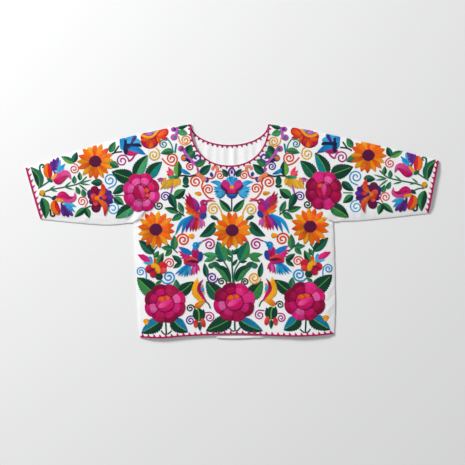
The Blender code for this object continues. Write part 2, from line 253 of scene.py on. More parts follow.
def thread_group():
    """Fine lines along the stitches, from a map whose V counts the threads."""
    group, given, result = new_group(
        "stitched_thread",
        (("Thread map", "NodeSocketVector", None), ("Streak", "NodeSocketFloat", 0.35)),
        (("Height", "NodeSocketFloat"), ("Shade", "NodeSocketFloat")),
    )
    apart = group.nodes.new("ShaderNodeSeparateXYZ")
    group.links.new(given.outputs["Thread map"], apart.inputs[0])
    turned = math_node(group, "MULTIPLY", apart.outputs[1], 2 * math.pi)
    ridge = math_node(group, "SINE", turned)
    stretched = group.nodes.new("ShaderNodeMapping")
    stretched.inputs["Scale"].default_value = STREAK_STRETCH
    group.links.new(given.outputs["Thread map"], stretched.inputs["Vector"])
    centred = math_node(group, "SUBTRACT", noise(group, stretched.outputs[0], 0.9), 0.5)
    shade = math_node(group, "ADD", math_node(group, "MULTIPLY", centred, given.outputs[1]), 1.0)
    group.links.new(ridge, result.inputs["Height"])
    group.links.new(shade, result.inputs["Shade"])
    return group


THREAD = thread_group()
print("made", THREAD.name)

# %% [markdown]
# ## Finishes
# Cotton is matt and very slightly uneven. Embroidery thread is smoother, with a
# soft sheen. The thread takes its colour from the attribute `dye` that each
# stitched form carries, its dye with painted shade towards its edges, so one
# finish serves every colour of thread.

# %% Cotton and thread finishes
COTTON_COLOUR = (0.86, 0.86, 0.865)
FUZZ_PER_METRE = 4000.0


def new_finish(name, roughness, sheen, bump_distance, shine=0.3):
    finish = bpy.data.materials.new(name)
    finish.use_nodes = True
    tree = finish.node_tree
    surface = tree.nodes["Principled BSDF"]
    surface.inputs["Roughness"].default_value = roughness
    surface.inputs["Sheen Weight"].default_value = sheen
    surface.inputs["Sheen Roughness"].default_value = 0.5
    surface.inputs["Specular IOR Level"].default_value = shine
    bump = tree.nodes.new("ShaderNodeBump")
    bump.inputs["Distance"].default_value = bump_distance
    tree.links.new(bump.outputs["Normal"], surface.inputs["Normal"])
    return finish, tree, surface, bump


def multiplied(tree, colour, factor):
    """The colour made lighter or darker by a factor that changes over the surface."""
    scaled = tree.nodes.new("ShaderNodeVectorMath")
    scaled.operation = "SCALE"
    feed(tree, scaled.inputs[0], colour)
    feed(tree, scaled.inputs["Scale"], factor)
    return scaled.outputs[0]


def cotton_finish():
    finish, tree, surface, bump = new_finish("white_cotton", 0.9, 0.1, 0.00008)
    place = tree.nodes.new("ShaderNodeTexCoord")
    weave = placed_group(tree, WEAVE, place=place.outputs["Object"])
    uneven = math_node(tree, "MULTIPLY", weave.outputs["Unevenness"], 0.10)
    shade = math_node(tree, "ADD", uneven, 0.95)
    tree.links.new(multiplied(tree, COTTON_COLOUR, shade), surface.inputs["Base Color"])
    tree.links.new(weave.outputs["Height"], bump.inputs["Height"])
    return finish


def thread_finish(name, streak):
    finish, tree, surface, bump = new_finish(name, 0.5, 0.02, 0.0002, shine=0.15)
    thread_map = tree.nodes.new("ShaderNodeUVMap")
    thread_map.uv_map = "threads"
    lines = placed_group(tree, THREAD, thread_map=thread_map.outputs[0], streak=streak)
    coloured = multiplied(tree, carried(tree, "dye")["Color"], lines.outputs["Shade"])
    tree.links.new(coloured, surface.inputs["Base Color"])
    tree.links.new(lines.outputs["Height"], bump.inputs["Height"])
    return finish


def strand_finish():
    finish, tree, surface, bump = new_finish("single_strands", 0.45, 0.03, 0.0001, shine=0.2)
    coloured = multiplied(tree, carried(tree, "dye")["Color"], carried(tree, "fade")["Fac"])
    tree.links.new(coloured, surface.inputs["Base Color"])
    place = tree.nodes.new("ShaderNodeTexCoord")
    fuzz = noise(tree, place.outputs["Object"], FUZZ_PER_METRE)
    tree.links.new(fuzz, bump.inputs["Height"])
    return finish


COTTON = cotton_finish()
SATIN = thread_finish("satin_stitch", 0.42)
STRAND = strand_finish()
print("finishes:", COTTON.name, SATIN.name, STRAND.name)

# %% [markdown]
# ## The form of the cloth
# The solids already hold the shape in which the blouse lies. We read their height
# on a fine grid, smooth away their facets, and then lay in the small creases, listed
# one by one, as soft ridges and troughs. Cloth and embroidery both take their height
# from this one grid, so the embroidery always lies on the cloth.

# %% Outlines of the solids
SAME_PLACE = 0.01 * MM
FACES_UP = 0.3


def outline(name):
    """The loop round a node, seen from above: the largest rim of what faces up."""
    shape = bmesh.new()
    shape.from_mesh(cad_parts[name].data)
    bmesh.ops.remove_doubles(shape, verts=shape.verts, dist=SAME_PLACE)
    rim = {}
    for face in shape.faces:
        if face.normal.z > FACES_UP:
            for loop in face.loops:
                others = [f for f in loop.edge.link_faces if f.normal.z > FACES_UP]
                if len(others) == 1:
                    rim[loop.vert.index] = loop.link_loop_next.vert.index
    places = np.array([v.co.xy for v in shape.verts])
    shape.free()
    loops = []
    while rim:
        first = next(iter(rim))
        walk = [first]
        while walk[-1] in rim:
            walk.append(rim.pop(walk[-1]))
        loops.append(places[walk[:-1]])
    return max(loops, key=lambda loop: abs(loop_area(loop)))


def loop_area(loop):
    x, y = loop.T
    return 0.5 * float(np.sum(x * np.roll(y, -1) - y * np.roll(x, -1)))


OUTLINES = {name: outline(name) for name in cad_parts}
print({name: f"{abs(loop_area(loop)):.4f} m2" for name, loop in OUTLINES.items()})

# %% [markdown]
# Much of what follows asks how far a point is from a seam or an edge, so we write
# that down once, together with a few other questions about lines and loops.

# %% Distances to lines


def away_from(points, line):
    """How far each point is from a line, and where on the line it is nearest."""
    best = np.full(len(points), np.inf)
    nearest = np.zeros((len(points), 2))
    for a, b in zip(line, line[1:]):
        d = b - a
        t = np.clip(((points - a) @ d) / max(d @ d, 1e-12), 0, 1)
        foot = a + t[:, None] * d
        off = np.hypot(*(points - foot).T)
        closer = off < best
        best[closer] = off[closer]
        nearest[closer] = foot[closer]
    return best, nearest


def from_lines(points, lines):
    """How far each point is from the nearest of some lines."""
    distance = np.full(len(points), np.inf)
    for line in lines:
        distance = np.minimum(distance, away_from(points, line)[0])
    return distance


def closed(loop):
    return np.vstack([loop, loop[:1]])


def length_of(line):
    return float(np.hypot(*np.diff(line, axis=0).T).sum())


def sideways(line):
    """The direction across a line, to its left, at each of its points."""
    ahead = np.gradient(line, axis=0)
    ahead /= np.maximum(np.hypot(*ahead.T), 1e-9)[:, None]
    return np.column_stack([-ahead[:, 1], ahead[:, 0]])


def inside(points, loop):
    """Which points lie inside a loop: those from which a ray crosses it an odd number of times."""
    found = np.zeros(len(points), bool)
    for (x1, y1), (x2, y2) in zip(loop, np.roll(loop, -1, axis=0)):
        crosses = (y1 > points[:, 1]) != (y2 > points[:, 1])
        with np.errstate(divide="ignore", invalid="ignore"):
            at = x1 + (points[:, 1] - y1) * (x2 - x1) / (y2 - y1)
        found ^= crosses & (points[:, 0] < at)
    return found


def runs(loop, kept):
    """The stretches of a loop whose points are kept, each as a line."""
    first = next(n for n in range(len(loop)) if not kept[n])
    order = [(first + n) % len(loop) for n in range(len(loop))]
    lines, line = [], []
    for n in order:
        if kept[n]:
            line.append(loop[n])
        elif line:
            lines.append(np.array(line))
            line = []
    return lines + ([np.array(line)] if line else [])


# %% Which edges are folded or sewn shut, and which are open
TOUCH = 1.5 * MM
EDGINGS = {
    "front_neck_edging": "front_panel",
    "back_neck_edging": "back_panel",
    "hem_edging": "front_panel",
    "cuff_edging_left": "sleeve_left",
    "cuff_edging_right": "sleeve_right",
}


def edge_under(edging):
    """The edge of the cloth that an edging is worked along."""
    loop = OUTLINES[EDGINGS[edging]]
    near = away_from(loop, closed(OUTLINES[edging]))[0] < TOUCH
    return max(runs(loop, near), key=len)


OPEN_EDGES = {name: edge_under(name) for name in EDGINGS}


def shut_edges():
    """The silhouette's side seams, shoulders and sleeve folds."""
    lines = []
    for name, others in (
        ("front_panel", ("sleeve_left", "sleeve_right")),
        ("sleeve_left", ("front_panel",)),
        ("sleeve_right", ("front_panel",)),
    ):
        loop = OUTLINES[name]
        shut = np.ones(len(loop), bool)
        for edging, cloth in EDGINGS.items():
            if cloth == name:
                edge = OPEN_EDGES[edging]
                shut &= away_from(loop, edge[1:-1])[0] > TOUCH
        for other in others:
            shut &= away_from(loop, closed(OUTLINES[other]))[0] > TOUCH
        lines += runs(loop, shut)
    return lines


SHUT_EDGES = [line for line in shut_edges() if len(line) > 1]
print("shut edges:", [len(line) for line in SHUT_EDGES])

# %% Read the heights of the solids
GRID = 1.5 * MM
COARSE = 3.0 * MM
MARGIN = 0.012
FACET_BLUR = 4.5 * MM


def grid_axis(low, high, step):
    return np.arange(low - MARGIN, high + MARGIN, step)


def solid_heights(names):
    """Heights on a coarse grid, and where there is any solid under it."""
    xs = grid_axis(CAD_LOW.x, CAD_HIGH.x, COARSE)
    ys = grid_axis(CAD_LOW.y, CAD_HIGH.y, COARSE)
    corners, faces = [], []
    for name in names:
        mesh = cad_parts[name].data
        first = len(corners)
        corners += [v.co.copy() for v in mesh.vertices]
        faces += [tuple(first + n for n in p.vertices) for p in mesh.polygons]
    tree = BVHTree.FromPolygons(corners, faces)
    down = Vector((0, 0, -1))
    heights = np.full((len(ys), len(xs)), np.nan)
    for j, y in enumerate(ys):
        for i, x in enumerate(xs):
            hit = tree.ray_cast(Vector((x, y, 1.0)), down)[0]
            if hit is not None:
                heights[j, i] = hit.z
    return xs, ys, heights


def blurred(values, reach):
    """Each value as the mean of those round it, leaving out the empty ones."""
    radius = int(3 * reach / COARSE) + 1
    bell = np.exp(-0.5 * (np.arange(-radius, radius + 1) * COARSE / reach) ** 2)
    known = np.isfinite(values).astype(float)
    total = np.where(known > 0, values, 0.0)
    for axis in (0, 1):
        known = np.apply_along_axis(np.convolve, axis, known, bell, mode="same")
        total = np.apply_along_axis(np.convolve, axis, total, bell, mode="same")
    return total / np.maximum(known, 1e-9)


def smooth_step(t):
    t = np.clip(t, 0.0, 1.0)
    return t * t * (3.0 - 2.0 * t)


def rounded(x):
    """A quarter of a circle: 1 where x is 0, and 0 where x is 1 or more."""
    return np.sqrt(np.clip(1 - x * x, 0, 1))


def mixed(values, u, v, ease):
    """Values between a grid's own points, u columns along and v rows up."""
    i, j = u.astype(int), v.astype(int)
    fu, fv = ease(u - i), ease(v - j)
    low = values[j, i] * (1 - fu) + values[j, i + 1] * fu
    high = values[j + 1, i] * (1 - fu) + values[j + 1, i + 1] * fu
    return low * (1 - fv) + high * fv


def looked_up(values, xs, ys, points):
    """Values of a grid at points that lie between its own."""
    u = np.clip((points[:, 0] - xs[0]) / (xs[1] - xs[0]), 0, len(xs) - 1.001)
    v = np.clip((points[:, 1] - ys[0]) / (ys[1] - ys[0]), 0, len(ys) - 1.001)
    return mixed(values, u, v, np.asarray)


XS = grid_axis(CAD_LOW.x, CAD_HIGH.x, GRID)
YS = grid_axis(CAD_LOW.y, CAD_HIGH.y, GRID)
GRID_POINTS = np.stack(np.meshgrid(XS, YS), axis=-1).reshape(-1, 2)
print("grid of", len(XS), "by", len(YS))

# %% [markdown]
# ## Creases
# Each crease is a short line with a height and a width. A ridge has a positive
# height and a trough a negative one. They gather where cloth pulls: at the
# underarms, along the sleeves' lower edges and at the sides. The back is gathered
# below its neckline, which shows inside the neck opening.

# %% Creases of the front and of the back
Crease = namedtuple("Crease", "col1 row1 col2 row2 height width")
FRONT_CREASES = (
    (133.5, 223.0, 147.0, 207.5, 2.2, 4.0),
    (136.0, 224.5, 152.0, 214.5, -1.8, 4.0),
    (134.5, 226.5, 150.0, 222.5, 1.5, 3.4),
    (129.0, 221.5, 138.5, 205.0, -1.8, 3.8),
    (124.0, 220.0, 133.0, 207.0, 1.5, 3.8),
    (333.0, 222.0, 317.0, 206.0, 2.2, 4.0),
    (331.0, 224.0, 314.0, 214.0, -1.8, 4.0),
    (333.5, 226.0, 321.0, 221.5, 1.4, 3.4),
    (339.0, 220.0, 330.0, 205.0, -1.7, 3.8),
    (345.0, 219.0, 338.0, 208.0, 1.5, 3.8),
    (357.5, 205.0, 362.5, 217.0, 1.2, 3.6),
    (353.5, 208.0, 357.0, 219.0, -1.0, 3.6),
    (371.0, 210.0, 375.0, 217.5, 0.7, 3.6),
    (48.0, 216.5, 78.0, 220.5, -1.0, 3.4),
    (78.0, 217.0, 112.0, 219.5, 0.8, 3.6),
    (84.0, 221.5, 92.0, 211.5, 0.7, 4.0),
    (325.5, 293.0, 334.0, 284.5, 1.4, 3.0),
    (325.5, 303.0, 334.0, 294.0, -1.3, 3.0),
    (324.5, 313.0, 334.0, 303.0, 1.4, 3.0),
    (326.0, 321.0, 333.5, 313.5, -1.2, 3.0),
    (137.5, 262.0, 143.0, 300.0, -0.7, 4.0),
    (140.0, 300.0, 141.0, 332.0, 0.8, 4.0),
    (331.0, 232.0, 331.5, 280.0, 0.8, 4.5),
    (221.0, 228.0, 208.0, 250.0, 0.5, 5.0),
    (250.0, 230.0, 262.0, 246.0, 0.5, 5.0),
    (180.0, 240.0, 170.0, 285.0, -0.5, 6.0),
    (290.0, 240.0, 298.0, 285.0, -0.5, 6.0),
    (150.0, 158.0, 164.0, 184.0, 0.5, 5.0),
    (316.0, 156.0, 300.0, 180.0, 0.5, 5.0),
    (60.0, 190.0, 92.0, 186.0, 0.5, 6.0),
    (404.0, 182.0, 372.0, 178.0, 0.5, 6.0),
)
BACK_PLEATS = (
    (199.5, 136.0, 194.5, 166.0, 1.6, 4.0),
    (208.5, 141.0, 204.0, 178.0, 2.2, 4.2),
    (216.8, 143.5, 214.5, 178.0, 2.0, 4.0),
    (224.0, 144.5, 223.0, 178.0, 1.6, 4.2),
    (229.9, 145.0, 229.3, 182.0, -2.3, 2.6),
    (233.5, 145.0, 233.5, 182.0, 2.6, 4.4),
    (237.1, 145.0, 237.7, 182.0, -2.3, 2.6),
    (244.0, 144.5, 245.0, 178.0, 1.9, 4.2),
    (251.5, 142.5, 254.0, 178.0, 2.0, 4.0),
    (259.5, 137.5, 264.5, 170.0, 1.6, 4.0),
)


def creased(creases, points):
    """The height that the creases add at each point, higher in a crease's middle."""
    total = np.zeros(len(points))
    for crease in map(Crease._make, creases):
        a, b = to_metres([crease[:2], crease[2:4]])
        d = b - a
        t = ((points - a) @ d) / (d @ d)
        off = np.abs((points - a) @ np.array([-d[1], d[0]])) / np.hypot(*d)
        along = smooth_step(3 * t + 0.3) * smooth_step(3.3 - 3 * t)
        total += crease.height * MM * along * np.exp(-((off / (crease.width * MM)) ** 2))
    return total


def ripples(points, wave, seed):
    """Soft random waves of one size, the same in every run."""
    chance = np.random.default_rng(seed)
    xs = np.arange(CAD_LOW.x - 2 * wave, CAD_HIGH.x + 3 * wave, wave)
    ys = np.arange(CAD_LOW.y - 2 * wave, CAD_HIGH.y + 3 * wave, wave)
    values = chance.uniform(-1, 1, (len(ys), len(xs)))
    return mixed(values, (points[:, 0] - xs[0]) / wave, (points[:, 1] - ys[0]) / wave, smooth_step)


# %% The two surfaces: the front's top and the back's top
WALL = 1.2 * MM
SEAM_HEIGHT = 2.5 * MM
ROLL = 4.6 * MM
PLUMP = 1.6 * MM
PLUMP_REACH = 30 * MM
Waves = namedtuple("Waves", "height size seed")
WAVES = (Waves(0.45 * MM, 0.055, 3), Waves(0.16 * MM, 0.019, 5))
Surface = namedtuple("Surface", "heights slope_x slope_y")


def surface_of(heights):
    heights = heights.reshape(len(YS), len(XS))
    slope_y, slope_x = np.gradient(heights, GRID)
    return Surface(heights, slope_x, slope_y)


def front_surface():
    xs, ys, heights = solid_heights(("front_panel", "sleeve_left", "sleeve_right"))
    form = looked_up(blurred(heights, FACET_BLUR), xs, ys, GRID_POINTS)
    edge = from_lines(GRID_POINTS, SHUT_EDGES)
    form += PLUMP * smooth_step(edge / PLUMP_REACH)
    form += creased(FRONT_CREASES, GRID_POINTS)
    for waves in WAVES:
        form += waves.height * ripples(GRID_POINTS, waves.size, waves.seed)
    rolled = rounded(1 - np.clip(edge / ROLL, 0, 1))
    return surface_of(SEAM_HEIGHT + np.maximum(form - SEAM_HEIGHT, 0) * rolled)


def back_surface():
    xs, ys, heights = solid_heights(("back_panel",))
    form = looked_up(blurred(heights, FACET_BLUR), xs, ys, GRID_POINTS)
    form += creased(BACK_PLEATS, GRID_POINTS)
    return surface_of(np.maximum(form, WALL))


FRONT = front_surface()
BACK = back_surface()


def height_at(surface, points):
    return looked_up(surface.heights, XS, YS, points)


def out_of(surface, points):
    """The direction straight out of the cloth at each point."""
    slopes = [looked_up(grid, XS, YS, points) for grid in surface[1:]]
    out = np.stack([-slopes[0], -slopes[1], np.ones(len(points))], axis=1)
    return out / np.linalg.norm(out, axis=1)[:, None]


print("front rises to", round(float(FRONT.heights.max()) / MM, 1), "mm")

# %% [markdown]
# ## The cloth
# Each panel is a thin wall: a net of small triangles inside the solid's outline,
# once for the upper face and once for the lower face, joined round the rim. A
# sleeve is one cloth folded along its top, so its upper and lower walls join along
# both long edges and stay open at the cuff and the armhole.

# %% A net of triangles inside an outline
NET = 4.7 * MM
ROW_SHARE = 0.866
RIM_SHARE = 0.45


def evenly(line, step):
    """The line again, with points that are about one step apart."""
    along = np.concatenate([[0], np.cumsum(np.hypot(*np.diff(line, axis=0).T))])
    wanted = np.linspace(0, along[-1], max(2, round(along[-1] / step) + 1))
    return np.stack([np.interp(wanted, along, line[:, k]) for k in range(2)], axis=1)


def finer_loop(loop, spacing):
    """The same loop with more points along it, its corners kept."""
    sides = zip(loop, np.roll(loop, -1, axis=0))
    return np.vstack([evenly(np.array(side), spacing)[:-1] for side in sides])


def net_inside(loop, spacing):
    """The points and triangles of a net that fills a loop."""
    rim = finer_loop(loop, spacing)
    low, high = rim.min(0), rim.max(0)
    rows = np.arange(low[1], high[1], spacing * ROW_SHARE)
    filling = np.array([
        (x, y)
        for n, y in enumerate(rows)
        for x in np.arange(low[0] + (n % 2) * spacing / 2, high[0], spacing)
    ])
    filling = filling[inside(filling, rim)]
    filling = filling[away_from(filling, closed(rim))[0] > RIM_SHARE * spacing]
    points = [Vector(map(float, p)) for p in np.vstack([rim, filling])]
    edges = [(n, (n + 1) % len(rim)) for n in range(len(rim))]
    made = delaunay_2d_cdt(points, edges, [], 0, 1e-7)
    points, faces = np.array([tuple(p) for p in made[0]]), np.array(made[2])
    faces = faces[inside(points[faces].mean(axis=1), rim)]
    a, b, c = (points[faces[:, k]] for k in range(3))
    turned = (b[:, 0] - a[:, 0]) * (c[:, 1] - a[:, 1]) < (b[:, 1] - a[:, 1]) * (c[:, 0] - a[:, 0])
    faces[turned] = faces[turned][:, ::-1]
    return points, faces


def rim_edges(faces):
    """The edges that only one triangle uses, each in that triangle's own direction."""
    once = {}
    for face in faces:
        for a, b in ((face[0], face[1]), (face[1], face[2]), (face[2], face[0])):
            if once.pop((b, a), None) is None:
                once[(a, b)] = True
    return list(once)


def new_piece(name, points, faces, finish):
    mesh = bpy.data.meshes.new(name)
    mesh.from_pydata(np.asarray(points, float).tolist(), [], [tuple(map(int, f)) for f in faces])
    mesh.validate()
    mesh.shade_smooth()
    mesh.materials.append(finish)
    return put_in_scene(bpy.data.objects.new(name, mesh))


# %% The two body panels
UNDER_ROLL = 3.4 * MM
LAYER_GAP = 0.3 * MM
LEAST_GAP = 0.1 * MM
BACK_NET = 1.4 * NET
BACK_LIFT_FROM = 1.5 * MM
BACK_SEAM_GAP = 0.6 * MM
BACK_THINNER = 0.65
BACK_DROP = 6.0 * MM
BACK_RISE = 3.5 * MM
HEM_SHOWS_FROM = 219
HEM_SHOWS_TO = 269
HEM_EASE = 5
SHARP = math.radians(60)


def lifted(points):
    """How far each point is from a shut edge, and how far the underside has risen to it."""
    edge = from_lines(points, SHUT_EDGES)
    return edge, 1 - rounded(1 - np.clip(edge / UNDER_ROLL, 0, 1))


def hem_shows(margin=0):
    """From where to where the back's hem shows, in metres."""
    return to_metres([(HEM_SHOWS_FROM - margin, 0), (HEM_SHOWS_TO + margin, 0)])[:, 0]


def panel(name, points, faces, low, high):
    """A wall from a net: its lower and upper faces, and the strip that joins their rims."""
    count = len(points)
    solid = np.vstack([np.column_stack([points, low]), np.column_stack([points, high])])
    skin = [tuple(f[::-1]) for f in faces] + [tuple(f + count) for f in faces]
    skin += [(a, b, b + count, a + count) for a, b in rim_edges(faces)]
    piece = new_piece(name, solid, skin, COTTON)
    piece.data.set_sharp_from_angle(angle=SHARP)
    return piece


def make_front():
    points, faces = net_inside(OUTLINES["front_panel"], NET)
    top = height_at(FRONT, points)
    above_back = height_at(BACK, points) + LAYER_GAP
    under = np.maximum(top - WALL, np.minimum(top - LEAST_GAP, above_back))
    return panel("front_cloth", points, faces, under, top)


def back_outline():
    """The back's outline, with its hem hanging a little below the front's near the middle."""
    loop = finer_loop(OUTLINES["back_panel"], NET)
    gap = away_from(loop, OPEN_EDGES["hem_edging"])[0]
    from_x, to_x = hem_shows()
    share = np.clip((loop[:, 0] - from_x) / (to_x - from_x), 0, 1)
    drop = smooth_step(HEM_EASE * share) * smooth_step(HEM_EASE * (1 - share))
    loop[:, 1] -= np.where(loop[:, 1] < 0, np.clip(BACK_DROP * drop - gap, 0, None), 0.0)
    return loop


def make_back():
    points, faces = net_inside(back_outline(), BACK_NET)
    risen = lifted(points)[1]
    raised = height_at(BACK, points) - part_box("back_panel")[0].z - BACK_LIFT_FROM
    raised = np.where(raised > 2 * LEAST_GAP, raised, 0.0)
    from_x, to_x = hem_shows(margin=2)
    shown = ~inside(points, OUTLINES["front_panel"]) & (points[:, 1] < 0)
    raised += BACK_RISE * (shown & (points[:, 0] > from_x) & (points[:, 0] < to_x))
    under = risen * (SEAM_HEIGHT - BACK_SEAM_GAP) + raised
    return panel("back_cloth", points, faces, under, under + WALL * (1 - BACK_THINNER * risen))


front_cloth = make_front()
back_cloth = make_back()
print("panels:", len(front_cloth.data.polygons), len(back_cloth.data.polygons), "faces")

# %% [markdown]
# A sleeve has four skins: the outside and the inside of its upper wall and of its
# lower wall. At the fold the two walls meet in one round edge.

# %% The sleeves
FOLD_GAP = 0.15 * MM
LEAST_WALL = 0.05 * MM
ON_THE_FOLD = 0.05 * MM
WELD = 0.02 * MM
SLEEVE_SHARP = math.radians(70)


def make_sleeve(side):
    name = f"sleeve_{side}"
    points, faces = net_inside(OUTLINES[name], NET)
    edge, risen = lifted(points)
    fold = edge < ON_THE_FOLD
    faces = faces[~fold[faces].all(axis=1)]
    centre = points.mean(0)
    inward = np.zeros_like(points)
    for line in SHUT_EDGES:
        for a, b in zip(line, line[1:]):
            near = fold & (away_from(points, np.array([a, b]))[0] < ON_THE_FOLD)
            square = np.array([a[1] - b[1], b[0] - a[0]]) / max(np.hypot(*(b - a)), 1e-9)
            inward[near] = square * np.sign((centre - a) @ square) * WALL
    top = np.where(fold, SEAM_HEIGHT, height_at(FRONT, points))
    bottom = np.where(fold, SEAM_HEIGHT, risen * SEAM_HEIGHT)
    upper = np.minimum(np.maximum(top - WALL, SEAM_HEIGHT + LEAST_GAP), top - LEAST_WALL)
    lower = np.maximum(np.minimum(bottom + WALL, SEAM_HEIGHT - LEAST_GAP), bottom + LEAST_WALL)
    upper_in = np.where(fold, SEAM_HEIGHT + FOLD_GAP, upper)
    lower_in = np.where(fold, SEAM_HEIGHT - FOLD_GAP, lower)
    count = len(points)
    sheets = [
        np.column_stack([points, top]),
        np.column_stack([points + inward, upper_in]),
        np.column_stack([points + inward, lower_in]),
        np.column_stack([points, bottom]),
    ]
    skin = []
    for n in (0, 2):
        skin += [tuple(f + n * count) for f in faces]
        skin += [tuple(f[::-1] + (n + 1) * count) for f in faces]
    for a, b in rim_edges(faces):
        if fold[a] and fold[b]:
            skin.append((a + count, b + count, b + 2 * count, a + 2 * count))
        else:
            skin.append((a + count, b + count, b, a))
            skin.append((a + 3 * count, b + 3 * count, b + 2 * count, a + 2 * count))
    piece = new_piece(f"{name}_cloth", np.vstack(sheets), skin, COTTON)
    shape = bmesh.new()
    shape.from_mesh(piece.data)
    bmesh.ops.remove_doubles(shape, verts=shape.verts, dist=WELD)
    ends = [e for e in shape.edges if e.is_boundary]
    bmesh.ops.holes_fill(shape, edges=ends, sides=8)
    shape.to_mesh(piece.data)
    shape.free()
    piece.data.set_sharp_from_angle(angle=SLEEVE_SHARP)
    return piece


sleeve_left_cloth = make_sleeve("left")
sleeve_right_cloth = make_sleeve("right")
print("sleeves:", len(sleeve_left_cloth.data.polygons), len(sleeve_right_cloth.data.polygons), "faces")

# %% [markdown]
# ## Embroidery
# Every petal, leaf, feather and stem is one stitched form: a path to follow, a
# half width and a way in which it widens and narrows. A form becomes a low,
# rounded pad on the cloth, and then threads are laid over the pad, along it for a
# petal, slanting out from the vein for a leaf, and across it for a stem.

# %% Dyes
DYES = {
    "pine": (14, 74, 56),
    "jade": (28, 116, 88),
    "fern": (64, 150, 84),
    "lime": (110, 180, 70),
    "mint": (76, 178, 128),
    "teal": (12, 150, 156),
    "lagoon": (12, 134, 178),
    "amber": (250, 158, 20),
    "orange": (248, 124, 16),
    "flame": (240, 84, 20),
    "gold": (250, 186, 36),
    "straw": (244, 200, 84),
    "plum": (104, 24, 72),
    "claret": (112, 4, 50),
    "wine": (150, 6, 66),
    "crimson": (188, 12, 84),
    "rose": (220, 18, 118),
    "pink": (232, 44, 142),
    "blush": (240, 106, 180),
    "fuchsia": (200, 22, 104),
    "magenta": (196, 52, 148),
    "orchid": (208, 100, 194),
    "violet": (112, 50, 164),
    "grape": (86, 38, 130),
    "indigo": (58, 70, 176),
    "lilac": (176, 156, 226),
    "azure": (80, 190, 232),
    "sky": (20, 166, 224),
    "blue": (14, 130, 206),
    "royal": (38, 76, 170),
    "navy": (34, 40, 92),
    "salmon": (250, 150, 116),
    "coral": (240, 94, 84),
    "scarlet": (226, 36, 54),
    "white": (240, 240, 238),
}


def linear(name):
    """The dye's colour as a renderer mixes it."""
    part = np.array(DYES[name]) / 255
    return np.where(part <= 0.04045, part / 12.92, ((part + 0.055) / 1.055) ** 2.4)


print(len(DYES), "dyes")

# %% [markdown]
# A form's kind says how it widens and narrows: each function takes the way along
# the path, from 0 at the base to 1 at the tip, and gives the share of the half
# width there. Three makers of such functions serve nearly all kinds.

# %% How forms widen and narrow


def swelling(base, widest, tip):
    """From a share of the width at the base to all of it at the widest place, then to the tip."""
    def width(t):
        grown = base + (1 - base) * smooth_step(t / widest)
        return np.where(t < widest, grown, tip((t - widest) / (1 - widest)))
    return width


def bowed(lean, fullness):
    """Nothing at both ends, and widest nearer the base the smaller the lean is."""
    return lambda t: np.sin(np.pi * np.clip(t, 0, 1) ** lean) ** fullness


def pointed(power):
    return lambda t: 1 - np.clip(t, 0, 1) ** power


def tapering(start, power):
    """Round at the base, within the start, and then narrower and narrower."""
    return lambda t: rounded(1 - np.clip(t / start, 0, 1)) * (1 - t) ** power


WIDTHS = {
    "leaf": bowed(0.78, 0.85),
    "broad": bowed(0.72, 0.8),
    "petal": swelling(0.42, 0.62, rounded),
    "round": lambda t: rounded(2 * t - 1),
    "spear": swelling(0.4, 0.45, pointed(1.8)),
    "ray": swelling(0.4, 0.5, pointed(2.3)),
    "point": tapering(0.05, 1.6),
    "cone": tapering(0.08, 0.75),
    "line": np.ones_like,
}
print("kinds:", sorted(WIDTHS))

# %% [markdown]
# The photograph was studied in enlarged views. Each view has the photograph's
# column and row of its top left corner and how many times it is enlarged, and the
# places of the motifs are columns and rows in one of these views.

# %% Enlarged views
View = namedtuple("View", "column row zoom")
WHOLE = View(0, 0, 1)
SLEEVE = View(18, 130, 12.85)
CHEST = View(130, 118, 14.67)
WAIST = View(130, 220, 12.55)
TULIP = View(200, 160, 24.12)
LOWER = View(195, 225, 13.07)


def seen(view, places):
    """Places in an enlarged view as columns and rows of the whole photograph."""
    return np.array([view.column, view.row]) + np.asarray(places, float) / view.zoom


# A form's rim is how much painted shade darkens its sides and its narrow ends.
Form = namedtuple("Form", "path half kind dye tip left right grain over teeth rim twin",
                  defaults=(None, None, "along", 1, 0, 0.25, None))
VEIN_SHARE = 0.88
VEIN_HALF = 1.5
SPIRAL_POINTS = 30
SPIRAL_REACH = 1.1
SPIRAL_INNER = 0.15
SPIRAL_LINE = 1.12
HALF_FORMS = []
OTHER_FORMS = []
now_sewing = HALF_FORMS


def sew(view, path, half, kind, dye, tip=None, left=None, right=None,
        grain="along", over=1, teeth=0, rim=0.25, twin=None):
    """Add one form. Half is in millimetres, and rim says how much painted shade darkens its sides and
    narrow ends.
    Twin is the dye, or a leaf's two dyes, that its twin on the right half has instead."""
    now_sewing.append(Form(seen(view, path), half, kind, dye, tip or dye, left, right,
                           grain, over, teeth, rim, twin))


def stem(view, path, dye="jade", half=2.1, over=1):
    sew(view, path, half, "line", dye, grain="across", over=over, rim=0.2)


def petal(view, path, half, dye, tip=None, over=2, kind="petal", rim=0.25, twin=None):
    sew(view, path, half, kind, dye, tip=tip, over=over, rim=rim, twin=twin)


def spot(view, centre, half, dye, tip=None, over=4, rim=0.25):
    x, y = centre
    reach = half * MM / PIXEL * view.zoom
    sew(view, [(x - reach, y), (x + reach, y)], half, "round", dye, tip=tip, over=over, rim=rim)


def leaf(view, path, half, left="pine", right=None, vein=None, teeth=0, over=1, kind="leaf", twin=None):
    """A leaf from its base to its tip, with its two halves stitched apart."""
    sew(view, path, half, kind, left, left=left, right=right or left,
        grain="slant", over=over, teeth=teeth, rim=0.15, twin=twin)
    if vein:
        end = (1 - VEIN_SHARE) * np.array(path[0]) + VEIN_SHARE * np.array(path[-1])
        sew(view, [*path[:-1], end], VEIN_HALF, "line", vein, grain="across", over=over + 3, rim=0.1)


def broad_leaf(view, path, half, left="pine", right=None, vein="lime", teeth=11, twin=None):
    """A leaf of a rose: widest near its base, with a toothed edge."""
    leaf(view, path, half, left, right, vein, teeth, over=0, kind="broad", twin=twin)


